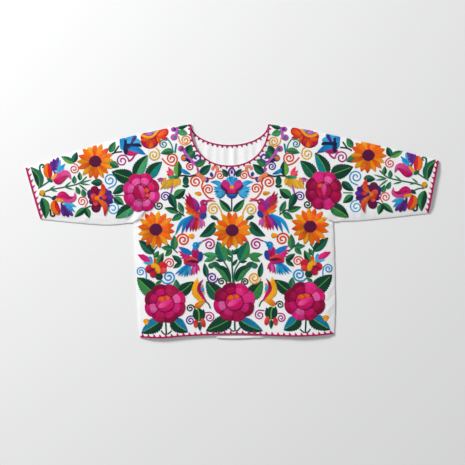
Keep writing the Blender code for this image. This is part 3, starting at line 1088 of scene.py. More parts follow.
def spiral(view, centre, radius, start, hand, dye, tail=(), turns=1.75, half=None, twin=None):
    """A line that winds inwards from its outer end. Start is that end's direction."""
    half = SPIRAL_LINE * (half or max(1.6, 0.15 * radius / view.zoom * PIXEL / MM))
    part = np.linspace(0, 1, SPIRAL_POINTS)
    angle = np.radians(start) + hand * part * turns * 2 * np.pi
    reach = SPIRAL_REACH * radius * (1 - (1 - SPIRAL_INNER) * part)
    x = centre[0] + reach * np.cos(angle)
    y = centre[1] - reach * np.sin(angle)
    path = list(tail) + list(zip(x, y))
    sew(view, path, half, "line", dye, grain="across", over=1, rim=0.2, twin=twin)


def fan(view, base, tips, half, dyes, kind="spear", over=2):
    """Petals or feathers that start together and end apart."""
    for n, tip in enumerate(tips):
        sew(view, [base, tip], half, kind, dyes[n % len(dyes)], over=over + n % 2)


print("views:", [tuple(view) for view in (SLEEVE, CHEST, WAIST, TULIP, LOWER)])

# %% [markdown]
# ### Flowers that come back again and again
# A rose has eight broad petals, each with a paler heart, round a middle of rings.
# A sunflower has two rows of pointed petals round a plum disc.

# %% Roses and sunflowers


def ray(centre, degrees, near, far, stretch=(1.0, 1.0)):
    """A path that runs outwards from a centre, in the photograph's columns and rows."""
    angle = math.radians(degrees)
    direction = np.array([math.cos(angle), -math.sin(angle)]) * stretch
    return [np.array(centre) + direction * near, np.array(centre) + direction * far]


def rose(centre, size, petals, hearts, middle, turn, stretch):
    """Petals and hearts are eight dyes each, from the right and round to the left."""
    reach = size * MM / PIXEL
    spot(WHOLE, centre, size * 0.84, "claret", over=2)
    for n in range(8):
        degrees = turn + 45 * n
        whole = ray(centre, degrees, 0.36 * reach, reach, stretch)
        heart = ray(centre, degrees, 0.34 * reach, 0.76 * reach, stretch)
        petal(WHOLE, whole, size * 0.385, petals[n], over=4 + n % 2, rim=0.3)
        petal(WHOLE, heart, size * 0.27, hearts[n], over=6, rim=0.05)
        edge = ray(centre, degrees + 22.5, 0.42 * reach, 0.88 * reach, stretch)
        sew(WHOLE, edge, 0.8, "line", "claret", grain="across", over=8, rim=0.0)
    ring = [ray(centre, 30 * n, 0, 0.43 * reach, stretch)[1] for n in range(13)]
    spot(WHOLE, centre, size * 0.42, middle, over=9, rim=0.1)
    sew(WHOLE, ring, 1.3, "line", "claret", grain="across", over=11, rim=0.0)
    return np.array(centre), reach


def rose_eye(centre, reach, spots, band):
    """The orange spots and the pale band in a rose's middle, as shares of its reach."""
    for x, y, half in spots:
        place = centre + np.array([x, y]) * reach
        spot(WHOLE, place, half * reach * PIXEL / MM, "flame", tip="orange", over=11)
    path = [centre + np.array(p) * reach for p in band]
    sew(WHOLE, path, 0.16 * reach * PIXEL / MM, "leaf", "blush", tip="pink", over=10, rim=0.1)


SUN_DYES = (("orange", "flame"), ("amber", "amber"), ("flame", "orange"), ("amber", "gold"),
            ("orange", "orange"))


def sunflower(centre, size, seed):
    reach = size * MM / PIXEL
    chance = np.random.default_rng(seed)
    turn = chance.uniform(0, 22)
    for n in range(16):
        degrees = turn + 11.2 + 22.5 * n + chance.uniform(-2, 2)
        path = ray(centre, degrees, 0.30 * reach, reach * chance.uniform(0.76, 0.82))
        petal(WHOLE, path, size * 0.15, "flame", "orange", over=1, kind="ray")
    for n in range(16):
        degrees = turn + 22.5 * n + chance.uniform(-2.5, 2.5)
        path = ray(centre, degrees, 0.28 * reach, reach * chance.uniform(0.99, 1.07))
        dye, tip = SUN_DYES[(n + seed) % len(SUN_DYES)]
        petal(WHOLE, path, size * chance.uniform(0.152, 0.168), dye, tip, kind="ray")
    spot(WHOLE, centre, size * 0.365, "plum", over=4, rim=0.2)


RED_PETALS = ("rose", "crimson", "wine", "wine", "rose", "crimson", "wine", "crimson")
RED_HEARTS = ("blush", "crimson", "rose", "rose", "blush", "rose", "rose", "pink")
MIDDLE_PETALS = ("pink", "rose", "wine", "wine", "rose", "crimson", "crimson", "wine")
MIDDLE_HEARTS = ("pink", "pink", "crimson", "crimson", "blush", "pink", "crimson", "pink")
PINK_PETALS = ("crimson", "rose", "rose", "pink", "rose", "pink", "rose", "pink")
PINK_HEARTS = ("rose", "blush", "blush", "blush", "pink", "blush", "blush", "blush")
RIGHT_PETALS = ("rose", "pink", "wine", "wine", "crimson", "pink", "crimson", "wine")
RIGHT_HEARTS = ("blush", "rose", "crimson", "crimson", "rose", "blush", "rose", "crimson")
DARK_PETALS = ("wine", "rose", "pink", "wine", "wine", "crimson", "pink", "crimson")
DARK_HEARTS = ("crimson", "blush", "pink", "crimson", "crimson", "rose", "pink", "crimson")
OVAL = (1.0, 0.93)
TALL = (0.98, 1.04)

now_sewing = OTHER_FORMS
for centre, turn, petals, hearts in (
    ((165.2, 303.3), 22.5, RED_PETALS, RED_HEARTS),
    ((234.2, 301.9), 17.0, MIDDLE_PETALS, MIDDLE_HEARTS),
    ((304.5, 301.0), 22.5, RIGHT_PETALS, RIGHT_HEARTS),
):
    eye, reach = rose(centre, 59, petals, hearts, "rose", turn, OVAL)
    rose_eye(eye, reach, ((-0.18, -0.20, 0.145), (0.10, -0.26, 0.13)),
             ((-0.30, 0.17), (0.03, -0.02), (0.33, -0.16)))
eye, reach = rose((141.6, 192.6), 53, PINK_PETALS, PINK_HEARTS, "crimson", 27, TALL)
rose_eye(eye, reach, ((0.27, -0.11, 0.135), (0.32, 0.16, 0.115)),
         ((-0.10, -0.36), (0.06, -0.05), (0.16, 0.32)))
eye, reach = rose((323.3, 190.6), 53, DARK_PETALS, DARK_HEARTS, "crimson", 20, TALL)
rose_eye(eye, reach, ((-0.20, -0.26, 0.13),), ((0.04, -0.36), (0.02, -0.05), (0.04, 0.32)))
scarlet = [eye + (-0.24 * reach, 0.0), eye + (-0.16 * reach, 0.30 * reach)]
petal(WHOLE, scarlet, 4.0, "scarlet", over=11, kind="round")
for seed, (centre, size) in enumerate((
    ((156.1, 229.5), 51), ((232.2, 230.3), 51), ((310.0, 226.6), 51),
    ((95.6, 161.5), 49), ((368.0, 155.4), 49),
)):
    sunflower(centre, size, seed)
print("roses and sunflowers:", len(OTHER_FORMS), "forms")

# %% [markdown]
# ### The left half of the body
# The blouse is worked alike on both sides, so the left half is written down once
# and carried over to the right afterwards.

# %% Round the lower rose
now_sewing = HALF_FORMS
broad_leaf(WAIST, [(325, 940), (90, 722)], 26.2, "fern", "pine", twin=("pine", "pine"))
broad_leaf(WAIST, [(590, 930), (690, 866), (800, 770)], 20.5)
broad_leaf(WAIST, [(400, 1245), (300, 1325), (145, 1418)], 24.5, right="lagoon")
broad_leaf(WAIST, [(535, 1235), (610, 1325), (728, 1405)], 23.9, "lagoon", "pine")
leaf(WAIST, [(592, 882), (578, 742)], 10, "fern", "jade")
leaf(WAIST, [(325, 812), (398, 762)], 6, "jade", "fern")
petal(WAIST, [(208, 1312), (203, 1236)], 9.2, "gold", "amber")
stem(WAIST, [(450, 1265), (458, 1438)], "pine", 2.6)
stem(WAIST, [(392, 1382), (420, 1420), (452, 1436)], "pine", 2.3)
stem(WAIST, [(526, 1385), (500, 1410), (470, 1432)], "pine", 2.3)
print("half forms:", len(HALF_FORMS))

# %% Between the sunflower and the lower rose
leaf(WAIST, [(298, 424), (112, 252)], 14, "jade", "pine")
stem(WAIST, [(345, 325), (300, 400), (312, 490)], half=2.2)
leaf(WAIST, [(312, 472), (362, 385)], 7, "fern", "jade")
leaf(WAIST, [(348, 560), (420, 408)], 10, "fern", "pine")
petal(WAIST, [(372, 676), (428, 524)], 14, "scarlet")
petal(WAIST, [(375, 665), (456, 612)], 9, "scarlet", "coral", over=5)
petal(WAIST, [(352, 606), (192, 622)], 13, "crimson", "scarlet")
petal(WAIST, [(340, 650), (258, 708)], 9.5, "crimson", "scarlet", over=5)
petal(WAIST, [(330, 600), (215, 640)], 4.5, "wine", "crimson", over=6)
sew(WAIST, [(318, 482), (320, 560)], 5.2, "line", "flame", tip="orange", over=3)
sew(WAIST, [(266, 566), (336, 588), (366, 672)], 8.0, "line", "gold", over=6)
petal(WAIST, [(344, 668), (388, 748)], 11, "pine", over=5, kind="round")
stem(WAIST, [(380, 735), (402, 772)])
petal(WAIST, [(262, 520), (98, 432)], 9, "pink", "rose", kind="leaf")
petal(WAIST, [(220, 500), (160, 425)], 4.5, "pink", over=1, kind="spear")
petal(WAIST, [(280, 550), (248, 455)], 5.5, "azure", "sky")
petal(WAIST, [(280, 552), (165, 530)], 4.8, "azure", kind="leaf")
spiral(WAIST, (138, 648), 54, 20, 1, "sky", tail=[(202, 748), (207, 690)], turns=1.7)
spiral(WAIST, (497, 542), 60, 190, -1, "coral", turns=1.8)
spiral(WAIST, (487, 715), 72, 265, 1, "sky", tail=[(398, 755), (432, 788)])
leaf(WAIST, [(556, 374), (558, 188)], 11, "jade", "fern")
leaf(WAIST, [(528, 358), (392, 345)], 8, "fern", "jade")
leaf(WAIST, [(526, 370), (442, 455)], 8, "fern", "jade")
stem(WAIST, [(465, 295), (540, 360), (602, 415)], "pine", 1.9)
leaf(WAIST, [(650, 530), (528, 442)], 8.6, right="jade")
leaf(WAIST, [(648, 533), (543, 605)], 7, "jade", "pine")
spiral(WAIST, (668, 250), 76, 200, -1, "flame", turns=1.9)
petal(WAIST, [(732, 196), (808, 210)], 8.4, "gold", "amber")
leaf(WAIST, [(1060, 28), (1000, 140), (872, 210)], 14, "jade", "pine")
print("half forms:", len(HALF_FORMS))

# %% The lower bird
fan(WAIST, (760, 470), [(603, 330), (604, 388), (620, 436), (638, 478), (666, 514)], 5.2,
    ("rose", "pink"))
petal(WAIST, [(790, 420), (700, 395), (625, 335)], 9.5, "blue", over=4, kind="spear")
fan(WAIST, (745, 545), [(565, 682), (603, 702), (642, 712), (682, 716), (716, 712), (752, 700)], 5.0,
    ("sky", "blue", "azure"))
fan(WAIST, (820, 540), [(768, 700), (800, 692), (838, 682), (874, 640)], 5.2, ("pink", "blush", "rose"))
sew(WAIST, [(872, 500), (780, 490), (678, 548)], 9.8, "petal", "coral", tip="scarlet", over=4)
sew(WAIST, [(850, 520), (770, 512), (700, 528)], 4.2, "leaf", "plum", tip="wine", over=8)
sew(WAIST, [(850, 556), (760, 562), (682, 550)], 4.0, "leaf", "magenta", tip="violet", over=8)
petal(WAIST, [(800, 355), (850, 490)], 12, "rose", "crimson", over=5, kind="round")
petal(WAIST, [(890, 396), (865, 520)], 8.4, "royal", over=6, kind="round")
spot(WAIST, (826, 316), 9.3, "sky", "blue", over=6)
petal(WAIST, [(832, 330), (808, 385)], 8, "sky", "blue", over=6, kind="line")
sew(WAIST, [(850, 300), (908, 266)], 4.0, "cone", "sky", tip="blue", over=7)
spot(WAIST, (824, 308), 1.4, "white", over=10)
petal(WAIST, [(868, 520), (684, 545)], 9.5, "crimson", over=1, kind="round")
spiral(WAIST, (997, 306), 68, 135, -1, "magenta", tail=[(906, 266)])
print("half forms:", len(HALF_FORMS))

# %% The flame, the pod and the curls beside it
sew(WAIST, [(920, 1045), (862, 965), (824, 880), (844, 718)], 13.5, "spear", "gold", over=2, teeth=8)
petal(WAIST, [(938, 1004), (880, 1050), (812, 1094)], 8.8, "gold", "orange", over=4)
sew(WAIST, [(955, 1022), (905, 945), (866, 872), (878, 800), (918, 742)], 6.0, "spear", "rose",
    tip="wine", over=6)
petal(WAIST, [(902, 830), (908, 920)], 6.2, "azure", "sky", over=3, kind="round")
spot(WAIST, (905, 822), 3.6, "salmon")
spot(WAIST, (922, 916), 3.6, "straw")
stem(WAIST, [(942, 1018), (985, 1050), (1012, 1112)], half=2.3)
leaf(WAIST, [(870, 1265), (830, 1180), (812, 1105)], 11)
leaf(WAIST, [(872, 1265), (905, 1190), (925, 1115)], 10)
petal(WAIST, [(870, 1105), (870, 1240)], 11, "pine", over=1, kind="round")
stem(WAIST, [(846, 1108), (868, 1170), (868, 1265)], "lime", 2.6, over=5)
petal(WAIST, [(832, 1248), (822, 1352)], 7.0, "scarlet", "coral", over=3, kind="round")
petal(WAIST, [(902, 1228), (932, 1344)], 7.2, "coral", "scarlet", over=3, kind="round")
leaf(WAIST, [(872, 1275), (880, 1390)], 6, "jade", "pine", over=4)
spiral(WAIST, (757, 1107), 44, 30, 1, "pine", tail=[(812, 1108)], turns=1.5, half=2.0)
spiral(WAIST, (760, 1260), 52, 80, 1, "violet", tail=[(802, 1203)], turns=1.7, half=1.9, twin="magenta")
spiral(WAIST, (998, 1218), 58, 110, -1, "magenta", tail=[(938, 1162)], turns=1.7, half=1.8)
print("half forms:", len(HALF_FORMS))

# %% Leaves round the rose at the underarm
broad_leaf(CHEST, [(85, 870), (150, 715), (262, 545)], 21.1, right="mint", twin=("teal", "pine"))
broad_leaf(CHEST, [(262, 885), (350, 760), (472, 643)], 20.5, right="teal", vein="fern",
    twin=("jade", "pine"))
broad_leaf(SLEEVE, [(1490, 640), (1350, 590), (1208, 538)], 24.5)
leaf(SLEEVE, [(1365, 705), (1300, 770), (1218, 822)], 11.5, right="jade")
leaf(SLEEVE, [(1235, 865), (1365, 962)], 11, "fern", "pine")
stem(SLEEVE, [(1235, 842), (1360, 840)], half=1.8)
broad_leaf(SLEEVE, [(1490, 985), (1375, 1050), (1256, 1132)], 20.5, "mint", "pine",
    twin=("pine", "fern"))
leaf(CHEST, [(648, 1170), (730, 1110), (815, 1045)], 14, "fern", "pine")
leaf(CHEST, [(590, 1110), (628, 1225), (688, 1332)], 11.5, "jade", "pine")
leaf(CHEST, [(778, 1388), (712, 1230)], 8.6, "fern", "jade")
leaf(CHEST, [(712, 1380), (505, 1320)], 9.2, "fern", "pine")
leaf(CHEST, [(765, 1410), (612, 1506)], 9.6, "fern", "jade")
stem(CHEST, [(680, 1362), (740, 1392), (802, 1442)], "pine", 2.0)
stem(CHEST, [(785, 1330), (780, 1420)], half=1.7)
spiral(CHEST, (520, 1155), 64, 40, 1, "violet", tail=[(612, 1140)], half=1.8)
spiral(CHEST, (428, 1285), 58, 160, 1, "pine", turns=1.6, half=2.1)
leaf(CHEST, [(1178, 1435), (1305, 1496)], 6, "jade", "pine")
print("half forms:", len(HALF_FORMS))

# %% The upper bird
BIRD_TAIL = (
    ((175.2, 235.3), "sky"), ((181.4, 234.4), "blue"), ((185.8, 232.4), "violet"),
    ((190.0, 231.8), "magenta"), ((192.8, 231.8), "crimson"), ((195.6, 231.6), "scarlet"),
    ((198.6, 229.8), "salmon"), ((201.6, 228.8), "orchid"), ((204.8, 226.6), "blush"),
)
for n, (tip, dye) in enumerate(BIRD_TAIL):
    base = (193.4 + 0.95 * n, 215.0 + 0.5 * n)
    aside = 0.11 * max(0.0, 198 - tip[0])
    bend = (0.5 * (base[0] + tip[0]) - aside, 0.5 * (base[1] + tip[1]) - aside)
    petal(WHOLE, [base, bend, tip], 6.0, dye, over=2 + n % 2, kind="spear")
fan(CHEST, (985, 1400), [(795, 1240), (802, 1312), (815, 1382)], 7.5, ("orange", "flame", "amber"))
petal(CHEST, [(985, 1390), (900, 1300), (808, 1182)], 9, "crimson", "wine", over=3, kind="spear")
petal(CHEST, [(985, 1380), (900, 1250), (812, 1118)], 7, "crimson", over=4, kind="spear")
petal(CHEST, [(985, 1380), (915, 1240), (858, 1092)], 7, "wine", "crimson", over=3, kind="spear")
petal(CHEST, [(985, 1385), (980, 1290), (920, 1162)], 8.5, "violet", "magenta", over=5, kind="spear")
petal(CHEST, [(930, 1440), (1000, 1420)], 8, "flame", "orange", over=5, kind="round")
petal(CHEST, [(1000, 1368), (985, 1470)], 8.8, "scarlet", "coral", over=6, kind="round")
petal(CHEST, [(1100, 1375), (1045, 1482)], 9.0, "royal", over=7, kind="round")
petal(CHEST, [(1085, 1265), (1060, 1410)], 10.8, "pink", "rose", over=6, kind="round")
spot(CHEST, (1080, 1248), 10.2, "magenta", "crimson", over=7)
sew(CHEST, [(1110, 1225), (1180, 1208), (1256, 1224)], 3.6, "cone", "magenta", tip="coral", over=8)
spot(CHEST, (1102, 1243), 3.8, "plum", over=9)
spot(CHEST, (1102, 1243), 2.4, "white", over=11)
stem(CHEST, [(770, 1170), (808, 1176)], half=3.0)
print("half forms:", len(HALF_FORMS))

# %% The hanging flower and its leaves
fan(CHEST, (630, 860), [(562, 716), (534, 772), (540, 828), (602, 745)], 5.2, ("pink", "coral"))
leaf(CHEST, [(700, 856), (712, 634)], 13, "lime", "pine")
petal(CHEST, [(750, 742), (800, 790), (895, 828)], 6, "sky", "blue", kind="leaf")
fan(CHEST, (632, 870),
    [(440, 1052), (498, 1048), (545, 1048), (585, 1032), (655, 1034), (690, 1010), (722, 990)], 6.6,
    ("gold", "straw", "gold"))
petal(CHEST, [(700, 862), (728, 985)], 7.0, "gold", "straw", over=3, kind="spear")
petal(CHEST, [(520, 875), (470, 1030)], 7.0, "gold", "straw", over=3, kind="spear")
petal(CHEST, [(562, 870), (722, 870)], 5.6, "mint", "jade", over=5, kind="round")
fan(CHEST, (500, 890), [(395, 905), (412, 935), (455, 976)], 4.2, ("magenta", "orchid"))
stem(CHEST, [(700, 852), (790, 845), (880, 856), (972, 832)], "pine", 2.6, over=3)
petal(CHEST, [(815, 855), (822, 992)], 9, "pine", "jade", kind="round")
stem(CHEST, [(770, 988), (820, 1012), (868, 988)], "pine", 3.2)
stem(CHEST, [(632, 948), (618, 1030), (598, 1110)], "orchid", 2.8, over=3)
spiral(CHEST, (352, 545), 78, 30, -1, "straw", tail=[(378, 440), (420, 478)])
spiral(CHEST, (495, 385), 60, 60, 1, "teal", tail=[(632, 502), (612, 402), (562, 325)], turns=1.7,
    half=1.8)
spiral(CHEST, (612, 600), 76, -25, 1, "flame", tail=[(465, 590), (545, 672), (640, 703), (676, 660)])
leaf(CHEST, [(645, 490), (550, 495), (452, 522)], 10, "jade", "fern")
stem(CHEST, [(660, 520), (670, 450), (682, 374)], "teal", 2.9)
print("half forms:", len(HALF_FORMS))

# %% The half flowers on the shoulder, which the fold cuts
sew(CHEST, [(290, 180), (292, 455)], 26, "petal", "scarlet", tip="crimson")
petal(CHEST, [(270, 300), (160, 262)], 12, "scarlet")
petal(CHEST, [(280, 310), (178, 332)], 8, "orange", "flame", over=3)
petal(CHEST, [(290, 320), (250, 420)], 6, "flame", "scarlet", over=3)
petal(CHEST, [(305, 320), (308, 448)], 9, "flame", "orange", over=3)
petal(CHEST, [(340, 310), (375, 400)], 5, "flame", "scarlet", over=3)
petal(CHEST, [(400, 290), (556, 168)], 13.5, "scarlet", over=1)
petal(CHEST, [(380, 265), (450, 190)], 11, "scarlet", over=0, kind="round")
petal(CHEST, [(420, 262), (545, 190)], 8.5, "orange", "flame", over=3)
petal(CHEST, [(410, 275), (565, 302)], 6, "flame", "scarlet", over=4, kind="spear")
petal(CHEST, [(405, 280), (445, 385)], 6, "orange", "flame", over=3, kind="spear")
sew(CHEST, [(168, 250), (250, 284), (335, 272), (430, 165)], 3.9, "line", "gold", over=6)
petal(CHEST, [(222, 240), (328, 232)], 5.4, "orchid", "lilac", over=5, kind="round")
petal(CHEST, [(325, 214), (402, 192)], 5.4, "lilac", over=5, kind="round")
sew(SLEEVE, [(1358, 262), (1344, 90)], 9.5, "line", "sky", tip="blue")
sew(SLEEVE, [(1425, 270), (1430, 70)], 9.5, "line", "sky")
petal(SLEEVE, [(1400, 235), (1520, 70)], 9.5, "sky", over=1)
petal(SLEEVE, [(1384, 128), (1388, 320)], 7.4, "navy", over=5)
petal(SLEEVE, [(1450, 195), (1510, 78)], 6.0, "grape", over=5)
sew(CHEST, [(-70, 392), (20, 330), (88, 262)], 10, "petal", "azure", tip="sky", over=2)
petal(CHEST, [(-70, 396), (60, 350), (162, 352)], 9.5, "sky", "azure")
sew(SLEEVE, [(1408, 240), (1478, 190), (1590, 206)], 3.4, "line", "navy", over=7)
petal(CHEST, [(-60, 402), (60, 398), (162, 398)], 4.8, "navy", over=7, kind="line")
petal(CHEST, [(-80, 455), (60, 452), (238, 540)], 10.5, "sky", "blue", over=3, kind="spear")
petal(CHEST, [(-80, 512), (40, 515), (148, 494)], 8.5, "rose", "magenta", kind="leaf")
petal(SLEEVE, [(1412, 305), (1548, 288)], 8, "rose", kind="round")
stem(SLEEVE, [(1505, 318), (1468, 375), (1418, 408)], "magenta", 3.0)
print("half forms:", len(HALF_FORMS))

# %% The garland round the neck
spot(CHEST, (640, 168), 7.6, "orchid", "magenta", over=2)
spot(CHEST, (655, 168), 4.2, "indigo", over=5)
spot(CHEST, (645, 285), 9.4, "orchid", over=2)
spot(CHEST, (655, 280), 4.6, "teal", over=5)
sew(CHEST, [(694, 128), (684, 230), (668, 320)], 4.6, "line", "orchid")
leaf(CHEST, [(703, 150), (855, 104)], 7.2, "jade", "pine")
leaf(CHEST, [(712, 196), (848, 238)], 10, "fern", "mint")
stem(CHEST, [(712, 180), (722, 240)], "pine", 2.5)
spiral(CHEST, (815, 328), 66, -30, 1, "amber", tail=[(712, 268), (730, 350), (790, 397), (846, 384)],
    twin="gold")
spot(CHEST, (752, 452), 9.0, "orchid", "magenta", over=2)
spot(CHEST, (764, 456), 4.4, "jade", over=5)
sew(CHEST, [(782, 440), (806, 500), (838, 560)], 5.0, "line", "orchid", grain="across")
sew(CHEST, [(838, 555), (895, 620), (955, 690)], 4.8, "line", "orchid", grain="across", over=3)
sew(CHEST, [(985, 735), (1012, 800)], 3.6, "line", "orchid", grain="across")
leaf(CHEST, [(836, 520), (905, 392)], 12, right="jade")
leaf(CHEST, [(858, 592), (954, 482)], 11.5, "fern", "jade")
spot(CHEST, (800, 588), 10.2, "indigo", over=2)
spot(CHEST, (790, 590), 7.6, "orange", "amber")
petal(CHEST, [(808, 592), (892, 648)], 4.4, "navy", over=5, kind="round")
sew(CHEST, [(905, 650), (990, 648), (1034, 590), (990, 545), (946, 588), (982, 604)], 2.7, "line",
    "violet", grain="across", over=3)
leaf(CHEST, [(958, 700), (1114, 622)], 11, "jade", "fern")
leaf(CHEST, [(1026, 834), (1186, 688)], 12, right="jade")
spiral(CHEST, (885, 715), 58, 60, 1, "scarlet", tail=[(996, 805), (985, 722), (932, 664)], turns=1.7,
    half=1.9, twin="violet")
petal(CHEST, [(965, 812), (1068, 866)], 6.4, "salmon", over=3, kind="round")
petal(CHEST, [(1052, 855), (1120, 932)], 7.4, "salmon", over=3, kind="round")
sew(CHEST, [(1118, 872), (1144, 905), (1112, 946)], 3.4, "line", "indigo", grain="across", over=4)
spiral(CHEST, (965, 935), 80, 50, 1, "flame",
    tail=[(1236, 1180), (1165, 1178), (1095, 1110), (1052, 1010), (1068, 940), (1040, 880)])
spiral(CHEST, (1150, 1050), 70, 185, -1, "flame")
petal(CHEST, [(948, 1100), (1050, 1120)], 6.6, "gold", "amber")
spiral(CHEST, (1225, 1340), 80, 50, 1, "straw", tail=[(1348, 1442), (1335, 1370), (1296, 1300)])
spiral(CHEST, (1320, 845), 60, 130, -1, "flame")
sew(CHEST, [(1130, 882), (1200, 890), (1246, 852), (1262, 790)], 2.5, "line", "scarlet", tip="coral",
    grain="across")
sew(CHEST, [(1208, 772), (1222, 724), (1272, 722), (1284, 765), (1262, 800)], 4.4, "line", "salmon",
    grain="across", over=2)
petal(CHEST, [(1186, 798), (1206, 868)], 4.9, "indigo", kind="round")
print("half forms:", len(HALF_FORMS))

# %% The sleeve
leaf(SLEEVE, [(285, 738), (268, 600), (168, 475)], 14, right="jade", vein="lime")
leaf(SLEEVE, [(315, 872), (356, 1000), (358, 1138)], 14, "fern", "pine", "jade")
spiral(SLEEVE, (318, 472), 32, 175, -1, "jade", tail=[(300, 560), (284, 510)], turns=0.85, half=2.6)
spiral(SLEEVE, (456, 1080), 32, 190, 1, "pine", tail=[(412, 1010), (424, 1060)], turns=0.85, half=2.6)
petal(SLEEVE, [(318, 772), (318, 852)], 9.5, "jade", over=1)
petal(SLEEVE, [(318, 772), (320, 850)], 8.8, "gold", over=3, kind="broad")
stem(SLEEVE, [(355, 792), (440, 765), (600, 735), (780, 690), (890, 600)], half=2.2)
for path in (
    [(400, 780), (482, 715)], [(430, 770), (512, 792)], [(600, 735), (692, 660)],
    [(610, 738), (722, 768)], [(780, 690), (955, 638)], [(800, 692), (935, 706)],
    [(785, 700), (902, 790)],
):
    leaf(SLEEVE, path, 2.7, "jade", "fern")
leaf(SLEEVE, [(726, 692), (730, 588)], 7.2, "jade", "fern")
leaf(SLEEVE, [(802, 650), (794, 540)], 7.0, right="fern")
leaf(SLEEVE, [(796, 826), (748, 728)], 7.2, "fern", "jade")
leaf(SLEEVE, [(862, 862), (830, 760)], 8, "fern", "jade")
spiral(SLEEVE, (725, 502), 58, 80, -1, "coral", tail=[(712, 428)], half=1.7)
spiral(SLEEVE, (830, 918), 60, -20, 1, "coral", tail=[(862, 992)], half=1.7)
leaf(SLEEVE, [(722, 425), (555, 340)], 9, "lime", "jade")
leaf(SLEEVE, [(715, 420), (758, 283)], 9.5, "jade", "pine")
leaf(SLEEVE, [(872, 1000), (730, 1120)], 9.5, right="fern")
leaf(SLEEVE, [(878, 1000), (922, 1132)], 9.5, "fern", "pine")
stem(SLEEVE, [(860, 1010), (945, 975)], "pine", 2.2)
leaf(SLEEVE, [(1180, 425), (1302, 476)], 11, "fern", "jade")
leaf(SLEEVE, [(1182, 288), (1250, 150)], 10, "jade", "fern")
stem(SLEEVE, [(1190, 325), (1250, 292), (1345, 280)], "pine", 2.5)
stem(SLEEVE, [(1240, 292), (1302, 202)], "pine", 2.6)
spiral(SLEEVE, (1342, 398), 76, -10, 1, "magenta", half=2.0)
spiral(SLEEVE, (1185, 645), 80, -60, 1, "sky", tail=[(1158, 752)], half=1.8)
spiral(SLEEVE, (1222, 1010), 76, 100, -1, "azure", half=1.8)
print("half forms:", len(HALF_FORMS))

# %% The two tulips of the sleeve
sew(SLEEVE, [(412, 628), (388, 535), (388, 426)], 13, "round", "scarlet", left="orange",
    right="scarlet", over=2)
fan(SLEEVE, (484, 565), [(424, 404), (462, 372), (516, 350)], 6.6, ("violet", "grape"), kind="petal",
    over=3)
fan(SLEEVE, (490, 565), [(550, 384), (612, 432), (600, 486)], 6.0, ("azure", "sky"))
spot(SLEEVE, (488, 532), 3.2, "white", over=5)
sew(SLEEVE, [(465, 640), (560, 570), (640, 560), (690, 642)], 9.5, "spear", "pink", tip="blush", over=3)
sew(SLEEVE, [(455, 650), (525, 672), (595, 620), (665, 580)], 7.4, "leaf", "rose", tip="fuchsia",
    over=6)
spot(SLEEVE, (520, 622), 8, "rose", over=1)
sew(SLEEVE, [(440, 635), (508, 562)], 4.8, "line", "gold", tip="amber", over=5)
petal(SLEEVE, [(380, 622), (448, 668)], 5.4, "jade", over=4, kind="round")
stem(SLEEVE, [(420, 648), (340, 705), (262, 752)], half=2.3)
sew(SLEEVE, [(476, 902), (480, 995), (535, 1090)], 13, "round", "scarlet", left="scarlet",
    right="orange", over=2)
fan(SLEEVE, (562, 935), [(598, 1110), (652, 1118), (708, 1104)], 6.8, ("violet", "grape"), kind="petal",
    over=3)
fan(SLEEVE, (590, 930), [(758, 988), (738, 1056), (690, 1060)], 6.2, ("azure", "sky"))
spot(SLEEVE, (588, 952), 3.2, "white", over=5)
sew(SLEEVE, [(500, 880), (572, 822), (660, 872), (735, 855)], 8.0, "leaf", "rose", tip="fuchsia",
    over=6)
sew(SLEEVE, [(510, 875), (640, 905), (728, 880), (735, 795)], 9.0, "spear", "pink", tip="blush", over=3)
spot(SLEEVE, (572, 862), 8, "rose", over=1)
sew(SLEEVE, [(490, 888), (600, 920)], 4.8, "line", "gold", tip="amber", over=5)
petal(SLEEVE, [(440, 895), (505, 850)], 5.4, "pine", over=4, kind="round")
stem(SLEEVE, [(470, 890), (400, 856), (322, 850)], half=2.2)
print("half forms:", len(HALF_FORMS))

# %% The star flower of the sleeve
leaf(SLEEVE, [(1090, 672), (940, 680)], 11, right="jade")
spot(SLEEVE, (1076, 872), 27, "grape", "violet", over=0)
petal(SLEEVE, [(1010, 860), (898, 788)], 12, "plum", "grape")
petal(SLEEVE, [(1010, 860), (898, 850)], 9, "grape", "plum", over=3)
petal(SLEEVE, [(1030, 850), (962, 726)], 12.5, "wine", over=4, twin="plum")
petal(SLEEVE, [(1010, 900), (915, 930)], 9, "plum", "grape")
petal(SLEEVE, [(1060, 920), (972, 1050)], 14, "wine", "plum", over=3, twin="plum")
fan(SLEEVE, (1060, 880), [(1148, 756), (1204, 790), (1232, 858), (1224, 925), (1172, 988)], 9.6,
    ("violet", "grape"), kind="petal", over=3)
petal(SLEEVE, [(1040, 880), (940, 838)], 9.5, "scarlet", "coral", over=6)
petal(SLEEVE, [(1040, 890), (952, 905)], 9, "flame", "scarlet", over=7)
petal(SLEEVE, [(1040, 900), (982, 968)], 8.5, "scarlet", "coral", over=6)
sew(SLEEVE, [(1030, 880), (1100, 780), (1078, 672)], 8.4, "spear", "orange", tip="scarlet", over=9)
sew(SLEEVE, [(1030, 880), (1122, 980), (1115, 1105)], 8.6, "spear", "orange", tip="scarlet", over=9)
spot(SLEEVE, (1025, 878), 7.5, "orange", "amber", over=11)
spot(SLEEVE, (1068, 874), 4.8, "indigo", over=13)
spot(SLEEVE, (1115, 868), 7.0, "flame", "scarlet", over=12)
print("half forms:", len(HALF_FORMS))

# %% [markdown]
# ### The middle
# The tulip under the neck and the plant between the lower birds stand on the
# middle line. Each side of them is written down once and turned over.

# %% The tulip under the neck
TULIP_MIDDLE = 768
now_sewing = OTHER_FORMS


def both(places):
    """The same path on the left and on the right of the tulip's middle column."""
    return [places, [(2 * TULIP_MIDDLE - x, y) for x, y in places]]


